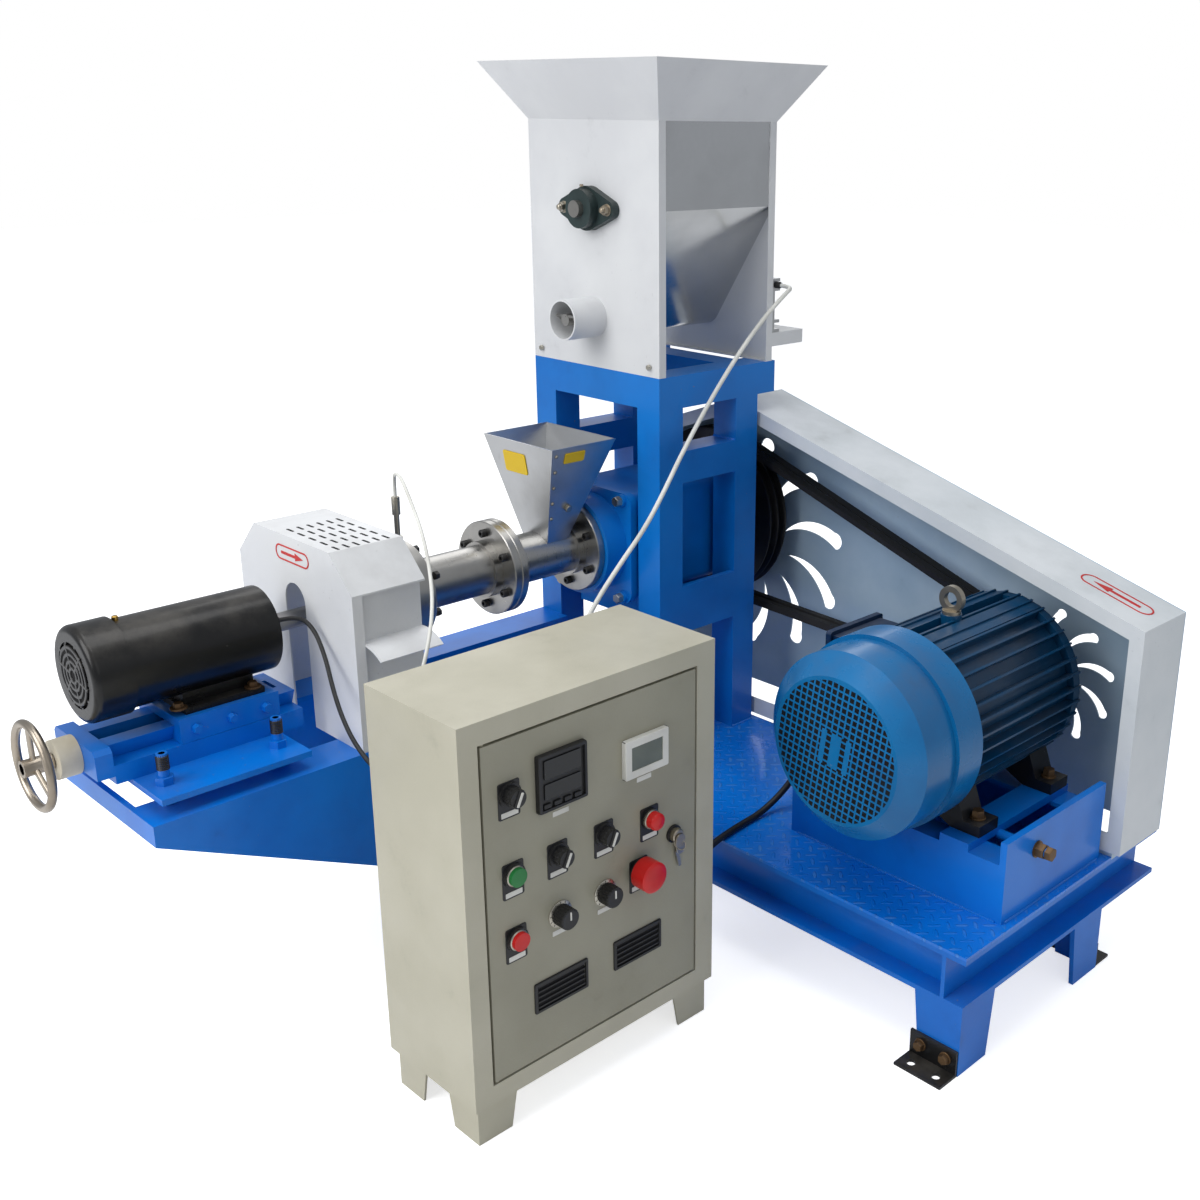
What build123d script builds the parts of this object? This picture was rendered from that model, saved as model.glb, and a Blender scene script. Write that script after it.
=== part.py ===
"""Feed pellet extruder: a dry single-screw extruder on a welded base, with its feed hopper, belt drive,
die-face cutter on a hand-driven slide, and the free-standing control cabinet beside it.

Machine axes, in millimetres: x runs along the screw from the cutter to the drive, y runs across from the
main motor to the stand, z is up from the floor. While it is drawn, x = 0 and y = 0 are the stand's cutter
face and motor face. At the end everything is moved so that the origin is the middle of the footprint."""

from build123d import *
import os
from math import acos, atan2, cos, hypot, pi, radians, sin, sqrt, tan

# Base: channels with a deck on top, on four tapered feet
foot_h = 98
foot_top_w = 75
foot_bottom_w = 64
foot_t = 7
channel_h = 76
channel_flange = 36
channel_web = 6
channel_flange_t = 7
deck_t = 4
base_x0, base_x1 = -130, 233
base_y0, base_y1 = -698, 302
guard_beam_x1 = 370
far_foot_x = 221
bracket_leg = 38
bracket_len = 74
bracket_t = 4
anchor_hole_r = 6
anchor_pitch = 40
deck_z = foot_h + channel_h + deck_t

# Stand: four square posts, rails and the plates between them
post = 50
tube_wall = 4
stand_x = 220
stand_y = 297
stand_top = 805
top_rail_z = 754
mid_rail_z0, mid_rail_z1 = 634, 685
low_plate_z0, low_plate_z1 = 382, 462
side_plate_t = 10
rail_overhang = 40

# Screw line, its bearing housing and the barrel
screw_y = stand_y / 2
screw_z = 521
housing_x0, housing_x1 = 6, 204
housing_half_y, housing_half_z = 86, 88
housing_front_t = 14
boss_r, boss_x0 = 80, -48
tail_boss_r, tail_boss_x1 = 56, 226
drive_shaft_r = 28
running_gap = 0.05
shaft_shoulder = 60
screw_core_r = 14
barrel_r, barrel_bore_r = 38.5, 22
flange_r, flange_t = 73, 13
barrel_joint_x = -212
front_barrel_x0 = -366
die_head_r, die_head_len = 74, 74
die_hole_r, die_hole_count, die_hole_circle_r = 3, 8, 30
die_boss_r, die_boss_len = 48, 6

# Inlet hopper on the rear barrel
inlet_sheet = 2
inlet_mouth = (-158, -32)
inlet_mouth_half_y = 84
inlet_mouth_z = 708
inlet_throat = (-131, -84)
inlet_throat_half_y = 34

# Feed hopper with its trough, rim and outlet tube
hopper_x = 252
hopper_plate_t = 3
hopper_flange = 14
hopper_fold_t = 1.5
hopper_wall_top = 1175
hopper_bend_z = 1049
hopper_sheet = 2
trough_z, trough_r = 883, 33
rim_flare = 54
rim_top = 1258
rim_wall = 3
tube_r, tube_wall_t, tube_len = 31, 2.5, 64
feed_shaft_r = 9
paddle_r = 22
agitator_z, agitator_r = 1047, 12.5
arm_r, arm_len = 6, 78
bearing_pitch = 99
bearing_hub_r, bearing_ear_r = 33, 13.5
bearing_base_t, bearing_h = 13, 28
feed_shelf_x1 = 327
feed_shelf_z0, feed_shelf_z1 = 828, 850
gear_case = (44, 96, 74)
feed_motor_r, feed_motor_len = 33, 66

# Main motor, its rails and the belt drive
motor_y, motor_z = -495, 407
motor_fan_x, motor_cowl_x1, motor_body_x1 = -160, -22, 242
motor_core_r, fin_h, fin_t, fin_count = 110, 14, 3.4, 36
cowl_r, cowl_step_r, cowl_face_r, cowl_wall = 135, 129, 102, 2.5
shield_r, shield_t, motor_nose_r, motor_nose_len = 121, 16, 60, 9
motor_shaft_r = 19
motor_shaft_in = 30
motor_nose_x1 = motor_body_x1 + motor_nose_len
eye_x, eye_base_z = 85, 536
eye_outer_r, eye_inner_r, eye_t = 19, 10.5, 9
motor_foot_z = 275
motor_foot_pitch_x, motor_foot_x0 = 178, 12
motor_foot_pitch_y = 216
motor_foot_h = 16
rail_x0, rail_x1 = -33, 218
rail_y0, rail_y1 = -685, -318
rail_plate_t = 10
rail_top_z = 263
rail_channel_w = 44
cross_bar_t, cross_bar_w = motor_foot_z - rail_top_z, 46
rail_plate_top_z = 297
terminal_box = (8, 116, 388, 484)
terminal_box_y = -341
terminal_cover_t, terminal_cover_lip = 9, 6
drive_pulley_r, motor_pulley_r = 146, 52
belt_pitch = 19
belt_top_w, belt_base_w, belt_h = 17, 11, 11
belt_proud = 1.5
groove_gap = 1
pulley_x0, pulley_x1 = 262, 302
pulley_web_t = 12
pulley_rim_t = 26
pulley_hub_r = 52
pulley_hole_r = 17
pulley_mid_x = (pulley_x0 + pulley_x1) / 2
belt_centres = [pulley_mid_x + side * belt_pitch / 2 for side in (-1, 1)]

# Belt guard
guard_x0, guard_x1 = 228.5, 347
guard_wall = 2.5
guard_lip = 22
guard_bar = 29
guard_z0 = 186
guard_y0, guard_near_top = -712, 528.5
guard_peak_y, guard_peak_z = 60, 738
guard_y1, guard_far_top = 330, 640

# Swirls of drop-shaped holes in the guard's back: place and size of each, then the shape of one drop
guard_swirls = [(103, 453, 1), (-510, 377, 0.55)]
swirl_count, swirl_start, swirl_sweep = 10, 151, 16
swirl_tip_at, swirl_bulb_at, swirl_bulb_r = 69, 180, 15
swirl_belly, swirl_hollow = 26, 9

# Cutter: cantilever frame, slide, carriage, motor, cover and handwheel
arm_x0 = -836
arm_top_z = 365
arm_nose_h = 28
arm_slope_x = -345
arm_t, arm_flange = 8, 66
plate_x0, plate_x1 = -818, -617
plate_half_y = 140
plate_top_z, plate_t = 391, 8
stud_r, stud_top_z = 7, 432
stud_inset, stud_half_y = 24, 97
nut_r, nut_h = 12, 10
slide_x0, slide_x1 = -838, -582
slide_half_y = 60
slide_base_z1 = 416
way_top_z = 437
way_half_top, way_half_foot = 42, 33
way_gap = 0.3
carriage_x0, carriage_x1 = -751, -614
carriage_top_z = 450
gib_bolt_r = 6
cutter_travel = 40
end_block_t = 22
end_block_z0, end_block_z1 = 402, 440
lead_screw_z, lead_screw_r = 420, 8
nut_half = 14
wheel_x, wheel_r, wheel_rim_r, wheel_hub_r = -910, 54, 5.5, 11
bush_r, bush_x0, bush_x1 = 25, -887, -860.5
cutter_motor_x0, cutter_motor_x1 = -848, -600
cutter_body_r, cutter_cowl_r, cutter_cowl_x1 = 58, 63, -797
cutter_foot_half_y = 50
grille_rings, grille_slot, grille_depth = (14, 23, 32, 41), 4, 3
cutter_foot_t = 8
coupling_r, coupling_x0 = 13, -598
knife_gap = 5
knife_hub_r, knife_hub_len = 17, 24
knife_len, knife_w, knife_t = 46, 20, 3
cover_x0, cover_x1 = -546, -434
cover_half_y, cover_top_half_y = 147, 98
cover_top_z, cover_shoulder_z = 636, 587
cover_wall = 2.5
cover_slot_r = 26
cover_lip_z = 517
cover_slot_z = 545
cover_margin, cover_recess = 15, 13
cover_vent, cover_vent_pitch = (3.5, 13), (15.3, 29)
probe_top_z = 662

# Control cabinet
cab_x0, cab_y0, cab_z0 = -651, -369, 54
cab_w, cab_d, cab_h = 398, 180, 500
cab_wall = 2.5
door_x0, door_x1 = 30, 363
door_z0, door_z1 = 83, 522
door_gap = 3.5
door_t = 18
hinge_r = 2.5
cab_foot_w, cab_foot_bottom_w, cab_foot_inset, cab_foot_t = 60, 50, 7, 3
hinge_in, hinge_pin_in = 5, 14
vent_slots = 5
door_vents = [(94, 174, 149, 187), (221, 299, 150, 188)]
controller_face = (104.5, 176.5, 415, 487)
meter_face = (238, 309.5, 411, 462)

# Each round control on the door: across, up, bezel radius and height, knob radius and height
round_controls = [
    (66, 454, 15, 5, 11, 14),
    (133.5, 351, 15, 5, 11, 14),
    (206, 350, 15, 5, 11, 14),
    (67.5, 350.5, 15, 5, 11, 7),
    (68.4, 265, 15, 5, 11, 7),
    (282, 343, 14, 4, 11, 12),
    (263, 277, 15, 8, 20, 22),
    (135, 269, 10, 3, 13, 17),
    (206.5, 268, 10, 3, 13, 17),
    (324, 305, 12, 3, 8, 8),
]

# Each unit on the plate inside the cabinet: across from, to, up from, to, and depth
cabinet_units = [
    (70, 190, 300, 440, 80),
    (220, 330, 330, 420, 78),
    (70, 330, 190, 235, 55),
    (90, 310, 90, 125, 40),
]

# Cables: name, radius and the points of each route
hopper_gland = (-290, 430)
probe_gland = (-560, 440)
cutter_gland = (-600, 400)
main_gland = (-280, 170)
motor_gland_y = -365
gland_r, gland_len = 9, 18
main_gland_r = 13
back_y = cab_y0 + cab_d + gland_len
side_x = cab_x0 + cab_w + gland_len
cables = [
    ("cord_hopper", 3.5, [
        (262, 3, 926), (262, -33, 926), (226, -50, 920), (182, -44, 884), (134, -34, 830), (78, -28, 762),
        (20, -30, 694), (-48, -58, 646), (-118, -92, 612), (-188, -120, 584), (-244, -128, 540),
        (-278, -118, 478), (hopper_gland[0], -132, hopper_gland[1]), (hopper_gland[0], back_y, hopper_gland[1]),
    ]),
    ("cord_probe", 2.5, [
        (-378, screw_y, probe_top_z), (-378, screw_y, 688), (-390, 126, 712), (-408, 84, 716), (-424, 38, 694),
        (-440, -8, 656), (-460, -52, 616), (-486, -92, 580), (-516, -120, 540), (-544, -130, 490),
        (probe_gland[0], -138, probe_gland[1]), (probe_gland[0], back_y, probe_gland[1]),
    ]),
    ("cord_cutter", 3, [
        (cutter_motor_x1, 108, 540), (-566, 108, 540), (-556, 86, 524), (-562, 52, 494), (-576, 14, 462),
        (-590, -28, 440), (-600, -70, 422), (-602, -112, 404), (cutter_gland[0], -142, cutter_gland[1]),
        (cutter_gland[0], back_y, cutter_gland[1]),
    ]),
    ("cord_main", 5, [
        (62, motor_gland_y, 374), (62, motor_gland_y, 344), (59, -348, 318), (53, -314, 306), (44, -282, 272),
        (22, -266, 216), (-30, -258, 184), (-88, -262, 183.5), (-142, -270, 184), (-188, main_gland[0], 180),
        (-212, main_gland[0], main_gland[1]), (side_x, main_gland[0], main_gland[1]),
    ]),
]

pieces = {}


def keep(builder, name):
    """Labels a finished piece and puts it on the list that is written at the end."""
    builder.part.label = name
    pieces[name] = builder.part


def block(x0, x1, y0, y1, z0, z1, mode=Mode.ADD):
    """A square-cut bar or plate between two corners, in the builder that is open."""
    with Locations(((x0 + x1) / 2, (y0 + y1) / 2, (z0 + z1) / 2)):
        Box(x1 - x0, y1 - y0, z1 - z0, mode=mode)


def across(x):
    """The plane that faces along x, with y and z as its own axes."""
    return Plane(origin=(x, 0, 0), x_dir=(0, 1, 0), z_dir=(1, 0, 0))


def round_bar(x0, x1, y, z, radius, mode=Mode.ADD):
    """A round bar or bore along x."""
    with BuildSketch(across(x0)) as end:
        with Locations((y, z)):
            Circle(radius)
    extrude(end.sketch, amount=x1 - x0, mode=mode)


def upright(x, y, z0, z1, radius, mode=Mode.ADD):
    """A round bar or bore along z."""
    with BuildSketch(Plane.XY.offset(z0)) as end:
        with Locations((x, y)):
            Circle(radius)
    extrude(end.sketch, amount=z1 - z0, mode=mode)


def prism(plane, points, amount, mode=Mode.ADD):
    """A straight-sided profile on a plane, extruded into the builder that is open."""
    with BuildSketch(plane) as face:
        with BuildLine():
            Polyline(*points, close=True)
        make_face()
    extrude(face.sketch, amount=amount, mode=mode)


# Base

with BuildPart() as base_channels:
    c_section = [
        (0, 0),
        (channel_flange, 0),
        (channel_flange, channel_flange_t),
        (channel_web, channel_flange_t),
        (channel_web, channel_h - channel_flange_t),
        (channel_flange, channel_h - channel_flange_t),
        (channel_flange, channel_h),
        (0, channel_h),
    ]
    inner_x0, inner_x1 = base_x0 + channel_flange, base_x1 - channel_flange
    inner_y0, inner_y1 = base_y0 + channel_flange, base_y1 - channel_flange
    beams = [
        ((inner_x0, inner_y0, foot_h), (-1, 0, 0), (0, 1, 0), inner_y1 - inner_y0),
        ((inner_x1, inner_y1, foot_h), (1, 0, 0), (0, -1, 0), inner_y1 - inner_y0),
        ((guard_beam_x1, inner_y0, foot_h), (0, -1, 0), (-1, 0, 0), guard_beam_x1 - base_x0),
        ((base_x0, inner_y1, foot_h), (0, 1, 0), (1, 0, 0), guard_beam_x1 - base_x0),
    ]
    for origin, open_side, run, length in beams:
        prism(Plane(origin=origin, x_dir=open_side, z_dir=run), c_section, length)
keep(base_channels, "base_channels")

with BuildPart() as deck_plate:
    block(base_x0, base_x1, base_y0, base_y1, deck_z - deck_t, deck_z)
keep(deck_plate, "deck_plate")

foot_corners = [
    (base_x0, base_y0, 1, 1),
    (far_foot_x, base_y0, -1, 1),
    (base_x0, base_y1, 1, -1),
    (far_foot_x, base_y1, -1, -1),
]

with BuildPart() as base_feet:
    for x, y, inward_x, inward_y in foot_corners:
        tapered = [(0, 0), (foot_bottom_w, 0), (foot_top_w, foot_h), (0, foot_h)]
        prism(
            Plane(origin=(x, y, 0), x_dir=(inward_x, 0, 0), z_dir=(0, -inward_x, 0)),
            tapered,
            -foot_t * inward_x * inward_y,
        )
        prism(
            Plane(origin=(x, y, 0), x_dir=(0, inward_y, 0), z_dir=(inward_y, 0, 0)),
            tapered,
            foot_t * inward_x * inward_y,
        )
keep(base_feet, "base_feet")

with BuildPart() as floor_brackets:
    for x, y, inward_x, inward_y in foot_corners:
        toe = -inward_x
        start = y + inward_y
        angle = [
            (0, 0),
            (bracket_leg, 0),
            (bracket_leg, bracket_t),
            (bracket_t, bracket_t),
            (bracket_t, bracket_leg),
            (0, bracket_leg),
        ]
        prism(
            Plane(origin=(x, start, 0), x_dir=(toe, 0, 0), z_dir=(0, -toe, 0)), angle,
            -toe * inward_y * bracket_len,
        )
        for shift in (-anchor_pitch / 2, anchor_pitch / 2):
            centre_y = start + inward_y * bracket_len / 2 + shift
            upright(
                x + toe * bracket_leg * 0.6, centre_y, 0, bracket_t, anchor_hole_r, Mode.SUBTRACT
            )
keep(floor_brackets, "floor_brackets")

# Stand

post_corners = [
    (0, 0),
    (stand_x - post, 0),
    (0, stand_y - post),
    (stand_x - post, stand_y - post),
]

with BuildPart() as stand_posts:
    with BuildSketch(Plane.XY.offset(deck_z)):
        for x, y in post_corners:
            with Locations((x + post / 2, y + post / 2)):
                Rectangle(post, post)
                Rectangle(post - 2 * tube_wall, post - 2 * tube_wall, mode=Mode.SUBTRACT)
    extrude(amount=top_rail_z - deck_z)
keep(stand_posts, "stand_posts")

with BuildPart() as stand_top_frame:
    block(0, stand_x + rail_overhang, 0, post, top_rail_z, stand_top)
    block(0, stand_x + rail_overhang, stand_y - post, stand_y, top_rail_z, stand_top)
    block(0, post, post, stand_y - post, top_rail_z, stand_top)
    block(stand_x - post, stand_x, post, stand_y - post, top_rail_z, stand_top)
keep(stand_top_frame, "stand_top_frame")

with BuildPart() as stand_mid_rails:
    for wall_y in (0, stand_y - post):
        block(post, stand_x - post, wall_y, wall_y + post, mid_rail_z0, mid_rail_z1)
keep(stand_mid_rails, "stand_mid_rails")

with BuildPart() as housing_shelf:
    for plate_y in (0, stand_y - side_plate_t):
        block(
            post, stand_x - post, plate_y, plate_y + side_plate_t, low_plate_z0, low_plate_z1
        )
    block(
        post, stand_x - post, side_plate_t, stand_y - side_plate_t,
        low_plate_z0, low_plate_z0 + side_plate_t,
    )
keep(housing_shelf, "housing_shelf")

# Bearing housing and drive shaft

with BuildPart() as bearing_housing:
    with BuildSketch(across(housing_x0)):
        with Locations((screw_y, screw_z)):
            RectangleRounded(2 * housing_half_y, 2 * housing_half_z, 18)
    extrude(amount=housing_x1 - housing_x0)
    block(
        housing_x0 + 20,
        housing_x1 - 20,
        screw_y - housing_half_y + 10,
        screw_y + housing_half_y - 10,
        low_plate_z0 + side_plate_t,
        screw_z - housing_half_z,
    )
    round_bar(housing_x1, tail_boss_x1, screw_y, screw_z, tail_boss_r)
    fillet(bearing_housing.edges().filter_by(GeomType.CIRCLE).sort_by(Axis.X)[-1], 5)
    round_bar(
        housing_x0 + shaft_shoulder, tail_boss_x1, screw_y, screw_z,
        drive_shaft_r + running_gap, Mode.SUBTRACT,
    )
    round_bar(
        housing_x0, housing_x0 + shaft_shoulder, screw_y, screw_z, barrel_bore_r, Mode.SUBTRACT
    )
keep(bearing_housing, "bearing_housing")

with BuildPart() as housing_cover:
    with BuildSketch(across(housing_x0)):
        with Locations((screw_y, screw_z)):
            RectangleRounded(2 * housing_half_y + 8, 2 * housing_half_z + 8, 20)
    extrude(amount=-housing_front_t)
    round_bar(boss_x0, housing_x0 - housing_front_t, screw_y, screw_z, boss_r)
    with BuildSketch(across(housing_x0 - housing_front_t)):
        with Locations((screw_y, screw_z)):
            with GridLocations(2 * housing_half_y - 30, 2 * housing_half_z - 14, 2, 2):
                Circle(10)
    extrude(amount=-7)
    round_bar(boss_x0, housing_x0, screw_y, screw_z, barrel_bore_r, Mode.SUBTRACT)
keep(housing_cover, "housing_cover")

# Barrel, die head and inlet hopper

with BuildPart() as rear_barrel:
    with BuildSketch(Plane.XZ.offset(-screw_y)):
        with BuildLine():
            Polyline(
                (boss_x0, screw_z + barrel_bore_r),
                (boss_x0, screw_z + flange_r),
                (boss_x0 - flange_t, screw_z + flange_r),
                (boss_x0 - flange_t, screw_z + barrel_r + 5),
                (boss_x0 - flange_t - 14, screw_z + barrel_r + 5),
                (boss_x0 - flange_t - 14, screw_z + barrel_r),
                (barrel_joint_x + flange_t, screw_z + barrel_r),
                (barrel_joint_x + flange_t, screw_z + flange_r),
                (barrel_joint_x, screw_z + flange_r),
                (barrel_joint_x, screw_z + barrel_bore_r),
                close=True,
            )
        make_face()
    revolve(axis=Axis((0, screw_y, screw_z), (1, 0, 0)))
    chamfer(rear_barrel.edges().filter_by(GeomType.CIRCLE).filter_by(
        lambda e: abs(e.radius - flange_r) < 0.01), 1.2)
    throat_len = inlet_throat[1] - inlet_throat[0] - 8
    with BuildSketch(Plane.XY.offset(screw_z)):
        with Locations((sum(inlet_throat) / 2, screw_y)):
            Rectangle(throat_len, 2 * barrel_bore_r - 8)
    extrude(amount=barrel_r + 5, mode=Mode.SUBTRACT)
keep(rear_barrel, "rear_barrel")

with BuildPart() as front_barrel:
    with BuildSketch(Plane.XZ.offset(-screw_y)):
        with BuildLine():
            Polyline(
                (barrel_joint_x, screw_z + barrel_bore_r),
                (barrel_joint_x, screw_z + flange_r),
                (barrel_joint_x - flange_t, screw_z + flange_r),
                (barrel_joint_x - flange_t, screw_z + barrel_r + 5),
                (barrel_joint_x - flange_t - 14, screw_z + barrel_r + 5),
                (barrel_joint_x - flange_t - 14, screw_z + barrel_r),
                (front_barrel_x0, screw_z + barrel_r),
                (front_barrel_x0, screw_z + barrel_bore_r),
                close=True,
            )
        make_face()
    revolve(axis=Axis((0, screw_y, screw_z), (1, 0, 0)))
    chamfer(front_barrel.edges().filter_by(GeomType.CIRCLE).filter_by(
        lambda e: abs(e.radius - flange_r) < 0.01), 1.2)
keep(front_barrel, "front_barrel")

die_face_x = front_barrel_x0 - die_head_len - die_boss_len
with BuildPart() as die_head:
    round_bar(front_barrel_x0 - die_head_len, front_barrel_x0, screw_y, screw_z, die_head_r)
    chamfer(die_head.edges().filter_by(GeomType.CIRCLE), 2)
    round_bar(die_face_x, front_barrel_x0 - die_head_len, screw_y, screw_z, die_boss_r)
    with BuildSketch(across(die_face_x)):
        with Locations((screw_y, screw_z)):
            with PolarLocations(die_hole_circle_r, die_hole_count):
                Circle(die_hole_r)
    extrude(amount=20, mode=Mode.SUBTRACT)
keep(die_head, "die_head")


def inlet_funnel(shrink_x, shrink_y, z_low, z_high):
    """The tapering space of the inlet hopper, drawn in along X and along Y, between two heights."""
    mouth_mid, throat_mid = sum(inlet_mouth) / 2, sum(inlet_throat) / 2
    mouth_len, throat_len = inlet_mouth[1] - inlet_mouth[0], inlet_throat[1] - inlet_throat[0]
    throat_z = screw_z + barrel_r
    sections = []
    for z in (z_low, z_high):
        t = (z - throat_z) / (inlet_mouth_z - throat_z)
        length = throat_len + (mouth_len - throat_len) * t - 2 * shrink_x
        width = 2 * (inlet_throat_half_y + (inlet_mouth_half_y - inlet_throat_half_y) * t - shrink_y)
        with BuildSketch(Plane.XY.offset(z)) as section:
            with Locations((throat_mid + (mouth_mid - throat_mid) * t, screw_y)):
                Rectangle(length, width)
        sections.append(section.sketch)
    return sections


# two side sheets, with two end sheets riveted between them
with BuildPart() as inlet_hopper:
    add(inlet_funnel(0, 0, screw_z + 12, inlet_mouth_z))
    loft()
    add(inlet_funnel(-1, inlet_sheet, screw_z + 8, inlet_mouth_z + 1))
    loft(mode=Mode.SUBTRACT)
    round_bar(inlet_mouth[0], inlet_mouth[1], screw_y, screw_z, barrel_r + 0.3, Mode.SUBTRACT)
keep(inlet_hopper, "inlet_hopper")

with BuildPart() as inlet_hopper_ends:
    add(inlet_funnel(0, inlet_sheet, screw_z + 12, inlet_mouth_z))
    loft()
    add(inlet_funnel(inlet_sheet, inlet_sheet - 5, screw_z + 8, inlet_mouth_z + 1))
    loft(mode=Mode.SUBTRACT)
    round_bar(inlet_mouth[0] - 1, inlet_mouth[1] + 1, screw_y, screw_z, barrel_r + 0.3, Mode.SUBTRACT)
keep(inlet_hopper_ends, "inlet_hopper_ends")

# Feed hopper


def trough_line(inset, top_z):
    """The hopper's cross-section as (y, z) points: upright sheets, a bend, slopes and the round trough."""
    half = stand_y / 2 - inset
    radius = trough_r - inset
    drop = hopper_bend_z - trough_z
    turn = atan2(drop, half) - acos(radius / hypot(half, drop))
    side_y, side_z = radius * cos(turn), trough_z + radius * sin(turn)
    return (
        (screw_y + side_y, side_z),
        (screw_y + half, hopper_bend_z),
        (screw_y + half, top_z),
        (screw_y - half, top_z),
        (screw_y - half, hopper_bend_z),
        (screw_y - side_y, side_z),
    ), (screw_y, trough_z - radius)


with BuildPart() as hopper_trough:
    with BuildSketch(across(hopper_plate_t)):
        for inset, top_z, mode in (
            (hopper_fold_t, hopper_wall_top, Mode.ADD),
            (hopper_fold_t + hopper_sheet, hopper_wall_top + 1, Mode.SUBTRACT),
        ):
            walls, lowest = trough_line(inset, top_z)
            with BuildLine():
                Polyline(*walls)
                ThreePointArc(walls[-1], lowest, walls[0])
            make_face(mode=mode)
    extrude(amount=hopper_x - 2 * hopper_plate_t)
keep(hopper_trough, "hopper_trough")

for name, plate_x, inward in (("front", 0, 1), ("back", hopper_x, -1)):
    with BuildPart() as side_plate:
        inner = plate_x + inward * hopper_plate_t
        tip = plate_x + inward * hopper_flange
        block(min(plate_x, inner), max(plate_x, inner), 0, stand_y, stand_top, hopper_wall_top)
        for edge_y in (0, stand_y - hopper_fold_t):
            block(
                min(inner, tip), max(inner, tip), edge_y, edge_y + hopper_fold_t,
                stand_top, hopper_wall_top,
            )
        block(
            min(inner, tip), max(inner, tip), hopper_fold_t, stand_y - hopper_fold_t,
            stand_top, stand_top + hopper_fold_t,
        )
        round_bar(plate_x - 5, plate_x + 5, screw_y, agitator_z, agitator_r + 3, Mode.SUBTRACT)
        if inward > 0:
            round_bar(plate_x - 5, plate_x + 5, screw_y, trough_z, tube_r - tube_wall_t, Mode.SUBTRACT)
        else:
            round_bar(plate_x - 5, plate_x + 5, screw_y, trough_z, feed_shaft_r + 3, Mode.SUBTRACT)
    keep(side_plate, f"hopper_{name}_plate")

with BuildPart() as hopper_rim:
    for z, spread in ((hopper_wall_top, 0), (rim_top, rim_flare)):
        with BuildSketch(Plane.XY.offset(z)):
            with Locations((hopper_x / 2, screw_y)):
                Rectangle(hopper_x + 2 * spread, stand_y + 2 * spread)
    loft()
    for z, spread in ((hopper_wall_top, -rim_wall), (rim_top, rim_flare - rim_wall)):
        with BuildSketch(Plane.XY.offset(z)):
            with Locations((hopper_x / 2, screw_y)):
                Rectangle(hopper_x + 2 * spread, stand_y + 2 * spread)
    loft(mode=Mode.SUBTRACT)
keep(hopper_rim, "hopper_rim")

with BuildPart() as outlet_tube:
    with BuildSketch(across(0)):
        with Locations((screw_y, trough_z)):
            Circle(tube_r)
            Circle(tube_r - tube_wall_t, mode=Mode.SUBTRACT)
    extrude(amount=-tube_len)
keep(outlet_tube, "outlet_tube")

with BuildPart() as agitator_bearings:
    for wall_x, outward in ((0, -1), (hopper_x, 1)):
        with BuildSketch(Plane(origin=(wall_x, 0, 0), x_dir=(0, 1, 0), z_dir=(1, 0, 0))):
            with Locations((screw_y, agitator_z)):
                Circle(bearing_hub_r)
            with Locations(
                (screw_y - bearing_pitch / 2, agitator_z), (screw_y + bearing_pitch / 2, agitator_z)
            ):
                Circle(bearing_ear_r)
            make_hull()
        extrude(amount=outward * bearing_base_t)
        round_bar(wall_x, wall_x + outward * bearing_h, screw_y, agitator_z, bearing_hub_r - 4)
    round_bar(
        -bearing_h - 1, hopper_x + bearing_h + 1, screw_y, agitator_z,
        agitator_r + running_gap, Mode.SUBTRACT,
    )
keep(agitator_bearings, "agitator_bearings")

with BuildPart() as agitator:
    round_bar(-bearing_h - 9, hopper_x + bearing_h + 9, screw_y, agitator_z, agitator_r)
    for step, tilt in enumerate((0, 60, 120)):
        arm_x = 60 + step * 66
        arm_plane = Plane(
            origin=(arm_x, screw_y, agitator_z),
            x_dir=(1, 0, 0),
            z_dir=(0, cos(tilt * pi / 180), sin(tilt * pi / 180)),
        )
        with BuildSketch(arm_plane.offset(-arm_len)):
            Circle(arm_r)
        extrude(amount=2 * arm_len)
keep(agitator, "agitator")

with BuildPart() as feed_shaft:
    round_bar(-tube_len + 6, hopper_x + 10, screw_y, trough_z, feed_shaft_r)
    for step in range(9):
        paddle_x = -tube_len + 16 + step * 32
        turn = step * 70
        paddle_plane = Plane(
            origin=(paddle_x, screw_y, trough_z),
            x_dir=(1, 0, 0),
            z_dir=(0, cos(turn * pi / 180), sin(turn * pi / 180)),
        )
        with BuildSketch(paddle_plane.offset(-paddle_r)):
            Rectangle(22, 4, rotation=35)
        extrude(amount=2 * paddle_r)
keep(feed_shaft, "feed_shaft")

with BuildPart() as feed_shelf:
    block(hopper_x, feed_shelf_x1, 0, stand_y, feed_shelf_z0, feed_shelf_z1)
    block(
        hopper_x, feed_shelf_x1 - hopper_plate_t, hopper_plate_t, stand_y - hopper_plate_t,
        feed_shelf_z0, feed_shelf_z1 - hopper_plate_t, Mode.SUBTRACT,
    )
keep(feed_shelf, "feed_shelf")

with BuildPart() as feed_gear_case:
    case_x0 = hopper_x
    block(
        case_x0, case_x0 + gear_case[0], screw_y - gear_case[1] / 2, screw_y + gear_case[1] / 2,
        feed_shelf_z1, feed_shelf_z1 + gear_case[2],
    )
    fillet(feed_gear_case.edges().filter_by(Axis.X), 8)
    round_bar(case_x0, case_x0 + 12, screw_y, trough_z, feed_shaft_r + running_gap, Mode.SUBTRACT)
keep(feed_gear_case, "feed_gear_case")

with BuildPart() as feed_motor:
    round_bar(
        case_x0 + gear_case[0], case_x0 + gear_case[0] + feed_motor_len, screw_y, trough_z + 4,
        feed_motor_r,
    )
    fillet(feed_motor.edges().filter_by(GeomType.CIRCLE).sort_by(Axis.X)[-1], 6)
keep(feed_motor, "feed_motor")

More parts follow.
